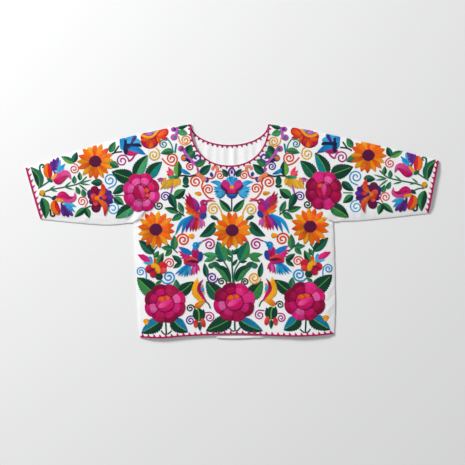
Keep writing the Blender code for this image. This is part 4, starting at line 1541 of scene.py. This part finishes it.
stem(TULIP, [(764, 915), (764, 1245)], "pine")
for path, half, dye in (
    ([(738, 1248), (600, 1120), (462, 946)], 10.5, "fern"),
    ([(655, 408), (600, 310), (540, 218)], 8.8, "jade"),
):
    left, right = both(path)
    leaf(TULIP, left, half, dye, "pine")
    leaf(TULIP, right, half, "pine", dye)
sew(TULIP, [(712, 392), (690, 280), (762, 192), (838, 280), (818, 392)], 2.8, "line", "violet",
    grain="across", over=3)
petal(TULIP, [(764, 345), (764, 232)], 3.6, "violet", over=3, kind="leaf")
for path in both([(600, 740), (430, 560), (245, 530)]):
    petal(TULIP, path, 8, "azure", "sky", kind="spear", over=1)
for n, (tip, dye) in enumerate((
    ((318, 640), "sky"), ((320, 700), "azure"), ((330, 765), "blue"), ((350, 830), "azure"),
    ((378, 890), "sky"), ((418, 925), "azure"), ((462, 938), "blue"),
)):
    for path in both([(620, 770), tip]):
        petal(TULIP, path, 5.2, dye, kind="spear", over=2 + n % 2)
for n, tip in enumerate((
    (615, 472), (655, 425), (710, 396), (768, 384), (828, 396), (884, 425), (922, 470),
)):
    petal(TULIP, [(770, 640), tip], 4.6, ("sky", "azure", "blue")[n % 3], over=2 + n % 2)
for path in both([(665, 812), (585, 700), (505, 590)]):
    sew(TULIP, path, 6.5, "line", "plum", tip="grape", over=4)
for path in both([(745, 700), (660, 560), (545, 505)]):
    petal(TULIP, path, 6.6, "magenta", "magenta", kind="petal", over=4)
for path in both([(725, 815), (668, 670), (510, 545)]):
    petal(TULIP, path, 7.2, "rose", "pink", kind="petal", over=5)
petal(TULIP, [(770, 830), (770, 640)], 13, "rose", "pink", over=6, kind="round")
spot(TULIP, (773, 664), 6.2, "amber", "gold", over=8)
sew(TULIP, [(770, 700), (770, 935)], 16.5, "round", "blue", tip="royal", over=3)
petal(TULIP, [(670, 842), (870, 842)], 4.0, "blue", over=6, kind="round")
stem(TULIP, [(645, 812), (770, 816), (898, 812)], "plum", 1.6, over=8)
print("other forms:", len(OTHER_FORMS))

# %% The plant between the lower birds
stem(LOWER, [(490, 318), (483, 500), (500, 790)], half=2.6)
stem(LOWER, [(372, 468), (440, 590), (472, 780)], half=2.4)
stem(LOWER, [(592, 468), (520, 600), (512, 780)], half=2.2)
leaf(LOWER, [(388, 474), (292, 212)], 19, "jade", "fern", "teal")
leaf(LOWER, [(587, 474), (694, 208)], 18.5, "jade", "fern", "teal")
leaf(LOWER, [(296, 408), (98, 376)], 9, "fern", "mint")
leaf(LOWER, [(275, 408), (118, 478)], 8.4, "fern", "mint")
leaf(LOWER, [(366, 472), (258, 455)], 3.8)
leaf(LOWER, [(692, 410), (884, 380)], 9, "fern")
leaf(LOWER, [(715, 410), (854, 478)], 8.4, "fern")
leaf(LOWER, [(588, 486), (682, 470)], 4.2)
leaf(LOWER, [(458, 745), (370, 600), (235, 528)], 14, "fern", "pine")
petal(LOWER, [(350, 585), (270, 512), (190, 545)], 8, "pine", "jade")
leaf(LOWER, [(535, 740), (620, 600), (755, 528)], 14, right="fern")
petal(LOWER, [(638, 585), (720, 512), (800, 545)], 8, "pine", "jade")
spot(LOWER, (212, 532), 8.6, "jade", "fern", over=2)
spot(LOWER, (778, 532), 8.6, "fern", "jade", over=2)
leaf(LOWER, [(484, 402), (410, 304)], 7, "jade", "fern")
leaf(LOWER, [(480, 472), (404, 406)], 7.2, "fern", "jade")
leaf(LOWER, [(496, 382), (582, 300)], 7, "jade", "pine")
leaf(LOWER, [(488, 532), (558, 444)], 5, right="jade")
leaf(LOWER, [(155, 682), (122, 495)], 8.6, right="jade")
leaf(LOWER, [(842, 684), (872, 485)], 8.4, right="jade")
spiral(LOWER, (225, 684), 70, 0, -1, "violet", turns=1.9)
spiral(LOWER, (775, 690), 76, 0, -1, "gold", turns=1.9)
spiral(LOWER, (348, 738), 44, 30, 1, "pine", tail=[(414, 782), (406, 730)], turns=1.5, half=2.1)
spiral(LOWER, (655, 742), 42, 150, -1, "pine", tail=[(604, 778), (612, 730)], turns=1.5, half=2.1)
broad_leaf(LOWER, [(332, 968), (148, 733)], 25.1, "jade", "pine")
broad_leaf(LOWER, [(705, 968), (882, 733)], 25.1, right="fern")
broad_leaf(LOWER, [(472, 1222), (330, 1300), (146, 1382)], 26.2)
broad_leaf(LOWER, [(575, 1232), (715, 1318), (886, 1382)], 21.7, "lagoon", "pine")
stem(LOWER, [(518, 1255), (522, 1386)], "pine", 2.6)
stem(LOWER, [(450, 1345), (486, 1380), (515, 1386)], "pine", 2.2)
stem(LOWER, [(592, 1335), (560, 1372), (530, 1386)], "pine", 2.2)
print("other forms:", len(OTHER_FORMS))

# %% [markdown]
# ### From the left half to the right half
# The right half mirrors the left one, but cloth never lies quite alike on both
# sides. Pairs of places, one on each side, say how far a mirrored motif has moved,
# and every other place moves as its nearest pairs do.

# %% Carry the left half over
PAIRS = (
    ((165, 304), (304.5, 301)), ((142, 193), (323, 191)), ((156, 229), (310, 226)),
    ((196.5, 212), (265, 210)), ((191, 258), (277, 256)), ((155.5, 269), (312, 266.5)),
    ((199, 292), (270, 291)), ((95.5, 161.5), (368, 155)), ((102, 198), (367, 194)),
    ((56, 172), (410, 164.5)), ((64.5, 203), (403.5, 198)), ((154, 139), (305.5, 137)),
    ((132.5, 146), (330.5, 144.5)), ((122, 147), (336.4, 145.5)), ((112.6, 147.0), (349.5, 142.5)),
    ((116.2, 153.3), (346.5, 148.7)), ((116.9, 149.2), (345.1, 145.1)),
    ((122.4, 161.0), (341.5, 157.9)), ((114.6, 165.0), (351.0, 159.0)),
    ((123.0, 175.8), (341.8, 170.7)), ((110.2, 180.2), (355.7, 177.1)),
    ((113.1, 208.6), (356.1, 206.8)), ((118.7, 189.6), (347.6, 186.3)),
    ((119.2, 201.0), (347.6, 199.1)), ((124.9, 212.2), (339.2, 211.6)), ((170, 182), (294, 182)),
    ((74, 168), (390, 162.3)), ((42.7, 192.7), (424, 184.6)), ((220.0, 175.6), (244.0, 175.3)),
    ((213.5, 209.3), (250.7, 209.7)), ((208.4, 189.6), (256.0, 188.8)),
    ((205.3, 169.9), (258.3, 169.3)), ((185.6, 140.4), (273.6, 141.9)),
    ((173.6, 129.5), (284.2, 129.3)), ((174.0, 137.4), (285.2, 137.8)),
    ((181.3, 148.8), (279.8, 148.7)), ((189.3, 149.0), (270.6, 150.1)),
    ((197.1, 158.2), (264.1, 157.6)), ((163.7, 144.2), (295.8, 143.9)),
    ((171.6, 158.8), (289.3, 157.9)), ((154.0, 155.2), (307.1, 154.2)),
    ((149.8, 140.5), (309.1, 140.2)), ((170.9, 182.8), (294.8, 182.8)),
    ((165.4, 196.7), (299.9, 196.5)), ((159.2, 205.6), (307.4, 204.3)),
    ((202.9, 208.7), (262.0, 207.4)), ((195.8, 181.7), (268.5, 182.2)),
    ((183.2, 239.9), (282.2, 239.1)), ((195.8, 244.9), (269.5, 244.3)),
    ((209.4, 244.4), (256.3, 244.3)), ((197.3, 277.5), (268.7, 275.8)),
    ((199.2, 314.8), (271.0, 313.3)), ((190.3, 308.2), (279.8, 304.5)),
    ((190.6, 320.4), (281.0, 317.6)), ((209.5, 317.1), (259.5, 314.9)),
    ((166.3, 328.4), (305.3, 326.8)), ((188.0, 332.0), (284.2, 330.8)),
    ((141.6, 333.0), (328.4, 328.8)), ((146.3, 321.6), (325.6, 318.0)),
    ((141.0, 271.6), (328.0, 268.6)), ((137.2, 277.5), (332.0, 274.6)),
)
NEAR_PAIR = 30


def mirrored(places):
    return np.column_stack([2 * CENTRE_COLUMN - places[:, 0], places[:, 1]])


def across(path):
    """A path of the left half, mirrored and moved as the nearest pairs say."""
    lefts, rights = np.array(PAIRS).swapaxes(0, 1)
    moves = rights - mirrored(lefts)
    gaps = np.hypot(*(path.mean(0) - lefts).T)
    shares = 1 / (gaps ** 2 + NEAR_PAIR) ** 2
    return mirrored(path) + shares @ moves / shares.sum()


def on_the_right(form):
    """A form's twin, in its own dyes where they differ from the left one's."""
    left, right = form.right, form.left
    dye, tip = form.dye, form.tip
    if isinstance(form.twin, tuple):
        left, right = form.twin
    elif form.twin:
        dye = tip = form.twin
    return form._replace(path=across(form.path), left=left, right=right, dye=dye, tip=tip)


FORMS = list(OTHER_FORMS)
for form in HALF_FORMS:
    FORMS.append(form)
    FORMS.append(on_the_right(form))
print("stitched forms:", len(FORMS))

# %% [markdown]
# ### From a form to stitches
# A form's surface has two directions: the way along its path and the way across
# it. The same function places a point of the pad and a point of a thread, so the
# threads always lie on their pad.

# %% Edges of the blouse, for what is stitched near them


def covered(points):
    """Which points lie under the front or a sleeve."""
    found = np.zeros(len(points), bool)
    for name in ("front_panel", "sleeve_left", "sleeve_right"):
        found |= inside(points, OUTLINES[name])
    return found


on_cloth = covered(GRID_POINTS)
step_aside = np.array([2 * GRID, 0])
on_cloth |= covered(GRID_POINTS - step_aside) & covered(GRID_POINTS + step_aside)
SIGN = np.where(on_cloth, 1.0, -1.0)
SHUT_FIELD = surface_of(SIGN * from_lines(GRID_POINTS, SHUT_EDGES))
FRONT_EDGES = [OPEN_EDGES[name] for name in EDGINGS if name != "back_neck_edging"]
OPEN_FIELD = surface_of(SIGN * from_lines(GRID_POINTS, FRONT_EDGES))
FOLD_HEM = 0.1 * MM
FOLD_DROP = 1.0 * MM
Ground = namedtuple("Ground", "surface hem")
FACE = Ground(FRONT, 2.0 * MM)
FACE_EDGE = Ground(FRONT, -0.2 * MM)
INSIDE_BACK = Ground(BACK, None)


def laid(points, lift, ground):
    """Places on the cloth, held back at open edges and turned down at the folds."""
    moved = points.copy()
    drop = np.zeros(len(points))
    for field, other, least in () if ground.hem is None else (
        (SHUT_FIELD, OPEN_FIELD, FOLD_HEM), (OPEN_FIELD, SHUT_FIELD, ground.hem),
    ):
        here = height_at(field, moved)
        nearer = np.abs(here) <= np.abs(height_at(other, moved))
        short = np.where(nearer & (here < least), least - here, 0.0)
        way = np.stack([looked_up(grid, XS, YS, moved) for grid in field[1:]], axis=1)
        way /= np.maximum(np.linalg.norm(way, axis=1), 1e-6)[:, None]
        moved += way * short[:, None]
        if field is SHUT_FIELD:
            drop = np.minimum(0.5 * short, FOLD_DROP)
    flat = np.column_stack([moved, height_at(ground.surface, moved) - drop])
    return flat + out_of(ground.surface, moved) * lift[:, None]


print("edge fields ready")

# %% Paths
SmoothPath = namedtuple("SmoothPath", "points sides length")
BETWEEN_PLACES = 8
PATH_STEP = 1.2 * MM


def smooth_path(places):
    """A curve through the places, with its sideways direction at each point."""
    ends = np.vstack([2 * places[0] - places[1], places, 2 * places[-1] - places[-2]])
    curve = []
    for a, b, c, d in zip(ends, ends[1:], ends[2:], ends[3:]):
        for t in np.linspace(0, 1, BETWEEN_PLACES, endpoint=False):
            curve.append(0.5 * ((2 * b) + (c - a) * t + (2 * a - 5 * b + 4 * c - d) * t ** 2
                                + (3 * b - a - 3 * c + d) * t ** 3))
    line = evenly(np.vstack([curve, places[-1:]]), PATH_STEP)
    return SmoothPath(line, sideways(line), length_of(line))


TOOTH = 0.17


def share_of_half(form, path, t):
    """The form's half width at each place along it, in metres."""
    width = WIDTHS[form.kind](t)
    if form.kind == "line":
        end = np.minimum(t, 1 - t) * path.length / (form.half * MM)
        width = width * rounded(1 - np.clip(end, 0, 1))
    if form.teeth:
        notch = (1 - (t * form.teeth) % 1.0) * np.sin(np.pi * np.clip(t, 0, 1)) ** 0.3
        width = width * (1 - TOOTH * notch)
    return width * form.half * MM


LEVEL = 0.20 * MM
PAD = 0.25 * MM
DOME = 0.05
HIGHEST_DOME = 0.5
THREAD_WIDTH = 0.7
SLANT = 0.9


def on_form(form, path, t, s):
    """Places, lifts, colours and thread maps for shares t along and s across a form."""
    t, s = np.broadcast_arrays(np.asarray(t, float), np.asarray(s, float))
    t, s = t.ravel(), s.ravel()
    half = share_of_half(form, path, t)
    at = np.clip(t, 0, 1) * (len(path.points) - 1)
    base = np.arange(len(path.points))
    middle, side = (
        np.stack([np.interp(at, base, values[:, k]) for k in range(2)], axis=1)
        for values in (path.points, path.sides)
    )
    places = middle + side * (s * half)[:, None]
    dome = min(DOME * form.half, HIGHEST_DOME) * MM
    fullness = np.clip(half / (form.half * MM), 0, 1) ** 0.5
    lifts = PAD + LEVEL * form.over + dome * (1 - s * s) * fullness
    mix = smooth_step(t)[:, None]
    colour = linear(form.dye) * (1 - mix) + linear(form.tip) * mix
    if form.left:
        colour = np.where((s > 0)[:, None], linear(form.left), linear(form.right))
    # Painted shade: each form's colour is darkened towards its sides and where it narrows, by its rim
    # share, standing in for the shade in the groove at its edge.
    shade = 1 - form.rim * np.abs(s) ** 4 - 0.5 * form.rim * (1 - fullness)
    colour = colour * shade[:, None]
    along, aside = t * path.length / MM, s * form.half
    if form.grain == "along":
        maps = np.column_stack([along, aside / THREAD_WIDTH])
    elif form.grain == "across":
        maps = np.column_stack([aside, along / THREAD_WIDTH])
    else:
        maps = np.column_stack([aside, (along - SLANT * np.abs(aside)) / THREAD_WIDTH])
    return places, lifts, colour, maps


# %% [markdown]
# A pad is a closed strip of faces with few columns, and more rings near its ends.
# Its rim is sunk a little into the cloth, so that no gap shows under it. The mesh
# carries the dye of each point, darkened towards the form's edges as painted
# shade, and a UV map that counts the threads.

# %% Pads
WIDE_COLUMNS = np.array([-1, -0.88, -0.45, -0.04, 0.04, 0.45, 0.88, 1])
NARROW_COLUMNS = np.array([-1, -0.6, 0.6, 1])
NARROW = 3.0
SINK = 0.5 * MM


def stations(form, path):
    """Shares along a form at which its pad has a ring, closer together at its ends."""
    step = 2.6 * MM if form.half > NARROW else 2.0 * MM
    count = int(np.clip(path.length / step, 5, 90))
    if form.teeth:
        count = max(count, 4 * form.teeth)
    t = np.linspace(0, 1, count + 1)
    near = min(0.4, form.half * MM / path.length)
    ends = near * np.array([0.03, 0.2, 0.5])
    inner = t[(t > ends[-1] * 1.2) & (t < 1 - ends[-1] * 1.2)]
    return np.concatenate([[0.004], ends + 0.004, inner, 1 - 0.004 - ends[::-1], [0.996]])


def pad_of(form, ground):
    """Points, faces, colours and thread map of a form's closed pad."""
    path = smooth_path(to_metres(form.path))
    t = stations(form, path)
    columns = WIDE_COLUMNS if form.half > NARROW else NARROW_COLUMNS
    rings, wide = len(t), len(columns)
    places, lifts, colour, maps = on_form(form, path, t[:, None], columns[None, :])
    rim = np.tile(np.abs(columns) == 1, rings)
    lifts = np.where(rim, -SINK, lifts)
    points = laid(places, lifts, ground)
    faces = []
    for r in range(rings - 1):
        for c in range(wide):
            a, b = r * wide + c, r * wide + (c + 1) % wide
            faces.append((a, a + wide, b + wide, b))
    faces.append(tuple(range(wide)))
    faces.append(tuple((rings - 1) * wide + n for n in reversed(range(wide))))
    return points, faces, colour, maps


# The colours stored here are each form's dye together with the painted shade at its edges.
def store_dyes_with_painted_shade(mesh, colours):
    rgba = np.column_stack([colours, np.ones(len(colours))])
    dye = mesh.attributes.new("dye", "FLOAT_COLOR", "POINT")
    dye.data.foreach_set("color", rgba.astype(np.float32).ravel())


def stitched_piece(name, forms, ground=FACE):
    points, faces, colours, maps = [], [], [], []
    first = 0
    for form in forms:
        some, skin, colour, thread_map = pad_of(form, ground)
        points.append(some)
        colours.append(colour)
        maps.append(thread_map)
        faces += [tuple(first + n for n in face) for face in skin]
        first += len(some)
    piece = new_piece(name, np.vstack(points), faces, SATIN)
    mesh = piece.data
    store_dyes_with_painted_shade(mesh, np.vstack(colours))
    corners = np.zeros(len(mesh.loops), int)
    mesh.loops.foreach_get("vertex_index", corners)
    layer = mesh.uv_layers.new(name="threads")
    layer.data.foreach_set("uv", np.vstack(maps)[corners].astype(np.float32).ravel())
    return piece


# %% [markdown]
# ### Threads
# Python lays the middle line of every thread. A small node tree then gives each
# line its round section, and makes some threads a little paler than others.

# %% Lines of thread
PITCH = 1.62 * MM
THREAD_STEP = 6 * MM
LOOK_STEP = 2 * MM
SLANT_PITCH = 1.12 * PITCH
CROSS_SLANT = 0.35


def strands_of(form, path):
    """For each thread, its shares along and across the form."""
    lines = []
    half = form.half * MM
    if form.grain == "along":
        count = max(1, round(2 * half * 0.94 / PITCH))
        dense = np.linspace(0.02, 0.98, max(8, int(path.length / LOOK_STEP)))
        widths = share_of_half(form, path, dense) / half
        for k in range(count):
            s = 0.92 * (2 * (k + 0.5) / count - 1)
            if form.kind in ("round", "line"):
                kept = dense[widths > abs(s) + 0.03]
                if len(kept) < 2:
                    continue
                steps = max(3, int((kept[-1] - kept[0]) * path.length / THREAD_STEP) + 1)
                t = np.linspace(kept[0], kept[-1], steps)
                lines.append((t, s / np.maximum(share_of_half(form, path, t) / half, 0.05)))
            else:
                steps = max(4, int(path.length / THREAD_STEP) + 1)
                t = np.linspace(0.02 + 0.05 * (k % 2), 0.985 - 0.10 * abs(s) ** 3, steps)
                lines.append((t, np.full(steps, s)))
    elif form.grain == "across":
        count = max(2, int(path.length / PITCH))
        for t in (np.arange(count) + 0.5) / count:
            slant = CROSS_SLANT * half / path.length
            lines.append((t + slant * np.array([-1, 0, 1]), np.array([-0.9, 0, 0.9])))
    else:
        count = max(3, int(path.length / SLANT_PITCH))
        for t in (np.arange(count) + 0.5) / count:
            reach = 0.9 * share_of_half(form, path, np.array([t]))[0] / path.length
            if t + reach * 0.5 > 1:
                continue
            along = t + reach * np.array([-0.3, 0.15, 0.6])
            for side in (-1, 1):
                lines.append((along, side * np.array([0.05, 0.5, 0.93])))
    return lines


def thread_lines(forms, ground=FACE):
    """All the threads of some forms, as points, edges, dyes and each thread's number."""
    places, lifts, colours, numbers, edges = [], [], [], [], []
    first = number = 0
    for form in forms:
        path = smooth_path(to_metres(form.path))
        for t, s in strands_of(form, path):
            some, lift, colour, _ = on_form(form, path, np.clip(t, 0.002, 0.998), s)
            places.append(some)
            lifts.append(lift)
            colours.append(colour)
            numbers.append(np.full(len(some), number))
            edges += [(first + n, first + n + 1) for n in range(len(some) - 1)]
            first += len(some)
            number += 1
    points = laid(np.vstack(places), np.concatenate(lifts), ground)
    return points, edges, np.vstack(colours), np.concatenate(numbers)


# %% The node tree that makes threads
PALEST = 1.22
DARKEST = 0.80


def thread_tree():
    """Lines in, threads out: each gets a section, a shade by its number and its finish."""
    tree = bpy.data.node_groups.new("laid_threads", "GeometryNodeTree")
    face = tree.interface
    face.new_socket(name="Lines", in_out="INPUT", socket_type="NodeSocketGeometry")
    for label, kind, value in (
        ("Thread radius", "NodeSocketFloat", 0.5 * MM),
        ("Sides", "NodeSocketInt", 3),
        ("Palest", "NodeSocketFloat", PALEST),
        ("Darkest", "NodeSocketFloat", DARKEST),
        ("Seed", "NodeSocketInt", 7),
    ):
        face.new_socket(name=label, in_out="INPUT", socket_type=kind).default_value = value
    face.new_socket(name="Finish", in_out="INPUT", socket_type="NodeSocketMaterial")
    face.new_socket(name="Threads", in_out="OUTPUT", socket_type="NodeSocketGeometry")
    given = tree.nodes.new("NodeGroupInput")
    result = tree.nodes.new("NodeGroupOutput")
    curves = tree.nodes.new("GeometryNodeMeshToCurve")
    section = tree.nodes.new("GeometryNodeCurvePrimitiveCircle")
    tubes = tree.nodes.new("GeometryNodeCurveToMesh")
    tubes.inputs["Fill Caps"].default_value = True
    number = tree.nodes.new("GeometryNodeInputNamedAttribute")
    number.data_type = "INT"
    number.inputs["Name"].default_value = "strand"
    chance = tree.nodes.new("FunctionNodeRandomValue")
    chance.data_type = "FLOAT"
    store = tree.nodes.new("GeometryNodeStoreNamedAttribute")
    store.data_type = "FLOAT"
    store.domain = "POINT"
    store.inputs["Name"].default_value = "fade"
    real = tree.nodes.new("GeometryNodeRealizeInstances")
    dress = tree.nodes.new("GeometryNodeSetMaterial")
    by_name = {socket.name: socket for socket in chance.inputs if socket.enabled}
    value = next(socket for socket in chance.outputs if socket.enabled)
    stored = next(s for s in store.inputs if s.enabled and s.name == "Value")
    numbered = next(s for s in number.outputs if s.enabled and s.name == "Attribute")
    link_all(tree, (
        (given.outputs["Lines"], curves.inputs["Mesh"]),
        (given.outputs["Sides"], section.inputs["Resolution"]),
        (given.outputs["Thread radius"], section.inputs["Radius"]),
        (curves.outputs["Curve"], tubes.inputs["Curve"]),
        (section.outputs["Curve"], tubes.inputs["Profile Curve"]),
        (given.outputs["Darkest"], by_name["Min"]),
        (given.outputs["Palest"], by_name["Max"]),
        (numbered, by_name["ID"]),
        (given.outputs["Seed"], by_name["Seed"]),
        (tubes.outputs["Mesh"], store.inputs["Geometry"]),
        (value, stored),
        (store.outputs["Geometry"], real.inputs["Geometry"]),
        (real.outputs["Geometry"], dress.inputs["Geometry"]),
        (given.outputs["Finish"], dress.inputs["Material"]),
        (dress.outputs["Geometry"], result.inputs["Threads"]),
    ))
    return tree


THREAD_TREE = thread_tree()
IDENTIFIERS = {item.name: item.identifier for item in THREAD_TREE.interface.items_tree}


def threads_from(name, lines, **settings):
    """Turn lines into threads with the node tree, and keep the result as a plain mesh."""
    points, edges, colours, numbers = lines
    mesh = bpy.data.meshes.new(name)
    mesh.from_pydata(points.tolist(), edges, [])
    store_dyes_with_painted_shade(mesh, colours)
    mesh.attributes.new("strand", "INT", "POINT").data.foreach_set("value", numbers.astype(np.int32))
    piece = put_in_scene(bpy.data.objects.new(name, mesh))
    maker = piece.modifiers.new("threads", "NODES")
    maker.node_group = THREAD_TREE
    maker[IDENTIFIERS["Finish"]] = STRAND
    for label, value in settings.items():
        maker[IDENTIFIERS[label.replace("_", " ").capitalize()]] = value
    ready = piece.evaluated_get(bpy.context.evaluated_depsgraph_get())
    made = bpy.data.meshes.new_from_object(ready)
    piece.modifiers.clear()
    piece.data = made
    made.shade_smooth()
    return piece


print("inputs:", sorted(IDENTIFIERS))

# %% [markdown]
# The forms are shared out by where they lie, so that no single piece becomes too
# heavy: two sleeves, and the body in three strips.

# %% Make the pads and the threads
STRIPS = (
    ("sleeve_left", 0, 122),
    ("body_left", 122, 192),
    ("body_middle", 192, 272),
    ("body_right", 272, 342),
    ("sleeve_right", 342, PHOTO_SIZE),
)
embroidery = []
for strip, low, high in STRIPS:
    some = [form for form in FORMS if low <= form.path[:, 0].mean() < high]
    pads = stitched_piece(f"{strip}_pads", some)
    threads = threads_from(f"{strip}_threads", thread_lines(some))
    embroidery += [pads, threads]
    print(strip, len(some), "forms", len(pads.data.polygons), "and", len(threads.data.polygons), "faces")

# %% [markdown]
# ## The seams
# The sleeves are sewn to the body with a white seam. Where no motif covers it,
# small stitches show across it, so we lay short white threads over the line where
# a sleeve's outline meets the front's.

# %% Seam stitches
SEAM_PITCH = 5.0 * MM
SEAM_HALF = 0.7
SEAM_REACH = 2.2 * MM
SEAM_GAP = 3.0 * MM
SEAM_RADIUS = 0.4 * MM


def seam_forms(side):
    """Short stitches across the line where this sleeve meets the front."""
    loop = OUTLINES[f"sleeve_{side}"]
    near = away_from(loop, closed(OUTLINES["front_panel"]))[0] < SEAM_GAP
    line = evenly(max(runs(loop, near), key=len), 0.5 * SEAM_PITCH)
    reach = sideways(line) * SEAM_REACH
    forms = []
    for n in range(2, len(line) - 2, 2):
        ends = [line[n] - reach[n], line[n + 1] + reach[n]]
        forms.append(Form(to_places(ends), SEAM_HALF, "line", "white", "white", over=0, rim=0.1))
    return forms


seams = []
for side in ("left", "right"):
    stitches = seam_forms(side)
    seams.append(threads_from(f"armhole_stitches_{side}", thread_lines(stitches),
                              thread_radius=SEAM_RADIUS))
    print("armhole", side, len(stitches), "stitches")

# %% [markdown]
# ## The worked edges
# Neck, hem and cuffs have a fuchsia edge: a corded line with small points that
# reach into the white cloth, all in one thread. Each edge is one piece.

# %% Edgings
Edging = namedtuple("Edging", "line point pitch half lean kind towards")
EDGE_RADIUS = 0.55 * MM
UP = (0.0, 1.0)
LEFT = (-1.0, 0.0)
EDGE_SIZES = {
    "front_neck_edging": Edging(4.2, 5.6, 15.2, 4.5, 0.8, "cone", UP),
    "back_neck_edging": Edging(3.8, 5.4, 13.4, 4.2, 0.8, "cone", UP),
    "hem_edging": Edging(5.2, 6.2, 16.4, 5.0, 2.4, "cone", LEFT),
    "cuff_edging_left": Edging(6.0, 7.2, 15.6, 6.0, 4.4, "point", UP),
    "cuff_edging_right": Edging(6.0, 7.2, 15.6, 6.0, 4.4, "point", UP),
}


def inner_side(line, loop):
    """The sideways direction at each point of an edge, towards the cloth."""
    side = sideways(line)
    probe = line[len(line) // 2] + side[len(line) // 2] * 4 * MM
    return side if inside(probe[None, :], loop)[0] else -side


def edging_forms(name):
    size = EDGE_SIZES[name]
    line = evenly(OPEN_EDGES[name], 3 * MM)
    side = inner_side(line, OUTLINES[EDGINGS[name]])
    middle = to_places(line + side * 0.5 * size.line * MM)
    forms = [Form(middle, 0.5 * size.line, "line", "fuchsia", "fuchsia", grain="across", over=2, rim=0.15)]
    count = max(2, round(length_of(line) / (size.pitch * MM)))
    reach = (size.line + size.point) * MM
    for n in range(count):
        at = (n + 0.5) / count * (len(line) - 1)
        k = int(at)
        after = line[min(k + 1, len(line) - 1)]
        start = line[k] + (after - line[k]) * (at - k)
        lean = after - line[max(k - 1, 0)]
        lean = lean * np.sign(lean @ size.towards) / max(np.hypot(*lean), 1e-9) * size.lean * MM
        path = [
            start + side[k] * 0.5 * size.line * MM,
            start + side[k] * 0.6 * reach + 0.25 * lean,
            start + side[k] * reach + lean,
        ]
        forms.append(Form(to_places(path), size.half, size.kind, "fuchsia", "fuchsia", over=2, rim=0.15))
    return forms


def make_edging(name):
    ground = INSIDE_BACK if name == "back_neck_edging" else FACE_EDGE
    forms = edging_forms(name)
    pads = stitched_piece(name.replace("_edging", "_edge"), forms, ground)
    threads = threads_from(name + "_threads", thread_lines(forms, ground), thread_radius=EDGE_RADIUS)
    with bpy.context.temp_override(active_object=pads, selected_editable_objects=[pads, threads]):
        bpy.ops.object.join()
    return pads


edges = {name: make_edging(name) for name in EDGINGS}
print("edges:", {name: len(piece.data.polygons) for name, piece in edges.items()})

# %% [markdown]
# ## The floor and the list of pieces
# A large pale sheet catches the shadow. It belongs to the picture and not to the
# blouse, so it is only staged. Then every piece is hung on the body it rides on,
# and the solids that the cloths and edgings replace are hidden.

# %% Floor
FLOOR_COLOUR = (0.81, 0.81, 0.81)
FLOOR_HALF = 4.0
FLOOR_LEVEL = -0.2 * MM
floor_finish, _, floor_surface, _ = new_finish("pale_paper", 0.8, 0.0, 0.0001)
floor_surface.inputs["Base Color"].default_value = (*FLOOR_COLOUR, 1.0)
signs = ((-1, -1), (1, -1), (1, 1), (-1, 1))
corners = [(x * FLOOR_HALF, y * FLOOR_HALF, FLOOR_LEVEL) for x, y in signs]
floor = new_piece("floor", corners, [(0, 1, 2, 3)], floor_finish)
floor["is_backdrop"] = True
print("floor", 2 * FLOOR_HALF, "m wide")

# %% Give every piece its body, and hide the solids that are replaced
CLOTHS = {
    "front_panel": front_cloth,
    "back_panel": back_cloth,
    "sleeve_left": sleeve_left_cloth,
    "sleeve_right": sleeve_right_cloth,
}
for pieces, material in ((CLOTHS, "cotton"), (edges, "thread")):
    for node, piece in pieces.items():
        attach(piece, ROOT)
        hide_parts(node)
for piece in embroidery + seams:
    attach(piece, ROOT)
print("pieces:", len(CLOTHS) + len(edges) + len(embroidery) + len(seams))

# %% [markdown]
# A sleeve is one cloth folded along its top, and its cut narrows to the cuff. A cut
# is described by its width, its length, its area and its edges.

# %% What a cut is described by
Cut = namedtuple("Cut", "width length area edges")

# %% Sizes, and the end
low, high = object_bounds()
print("visual box", tuple(low), tuple(high))
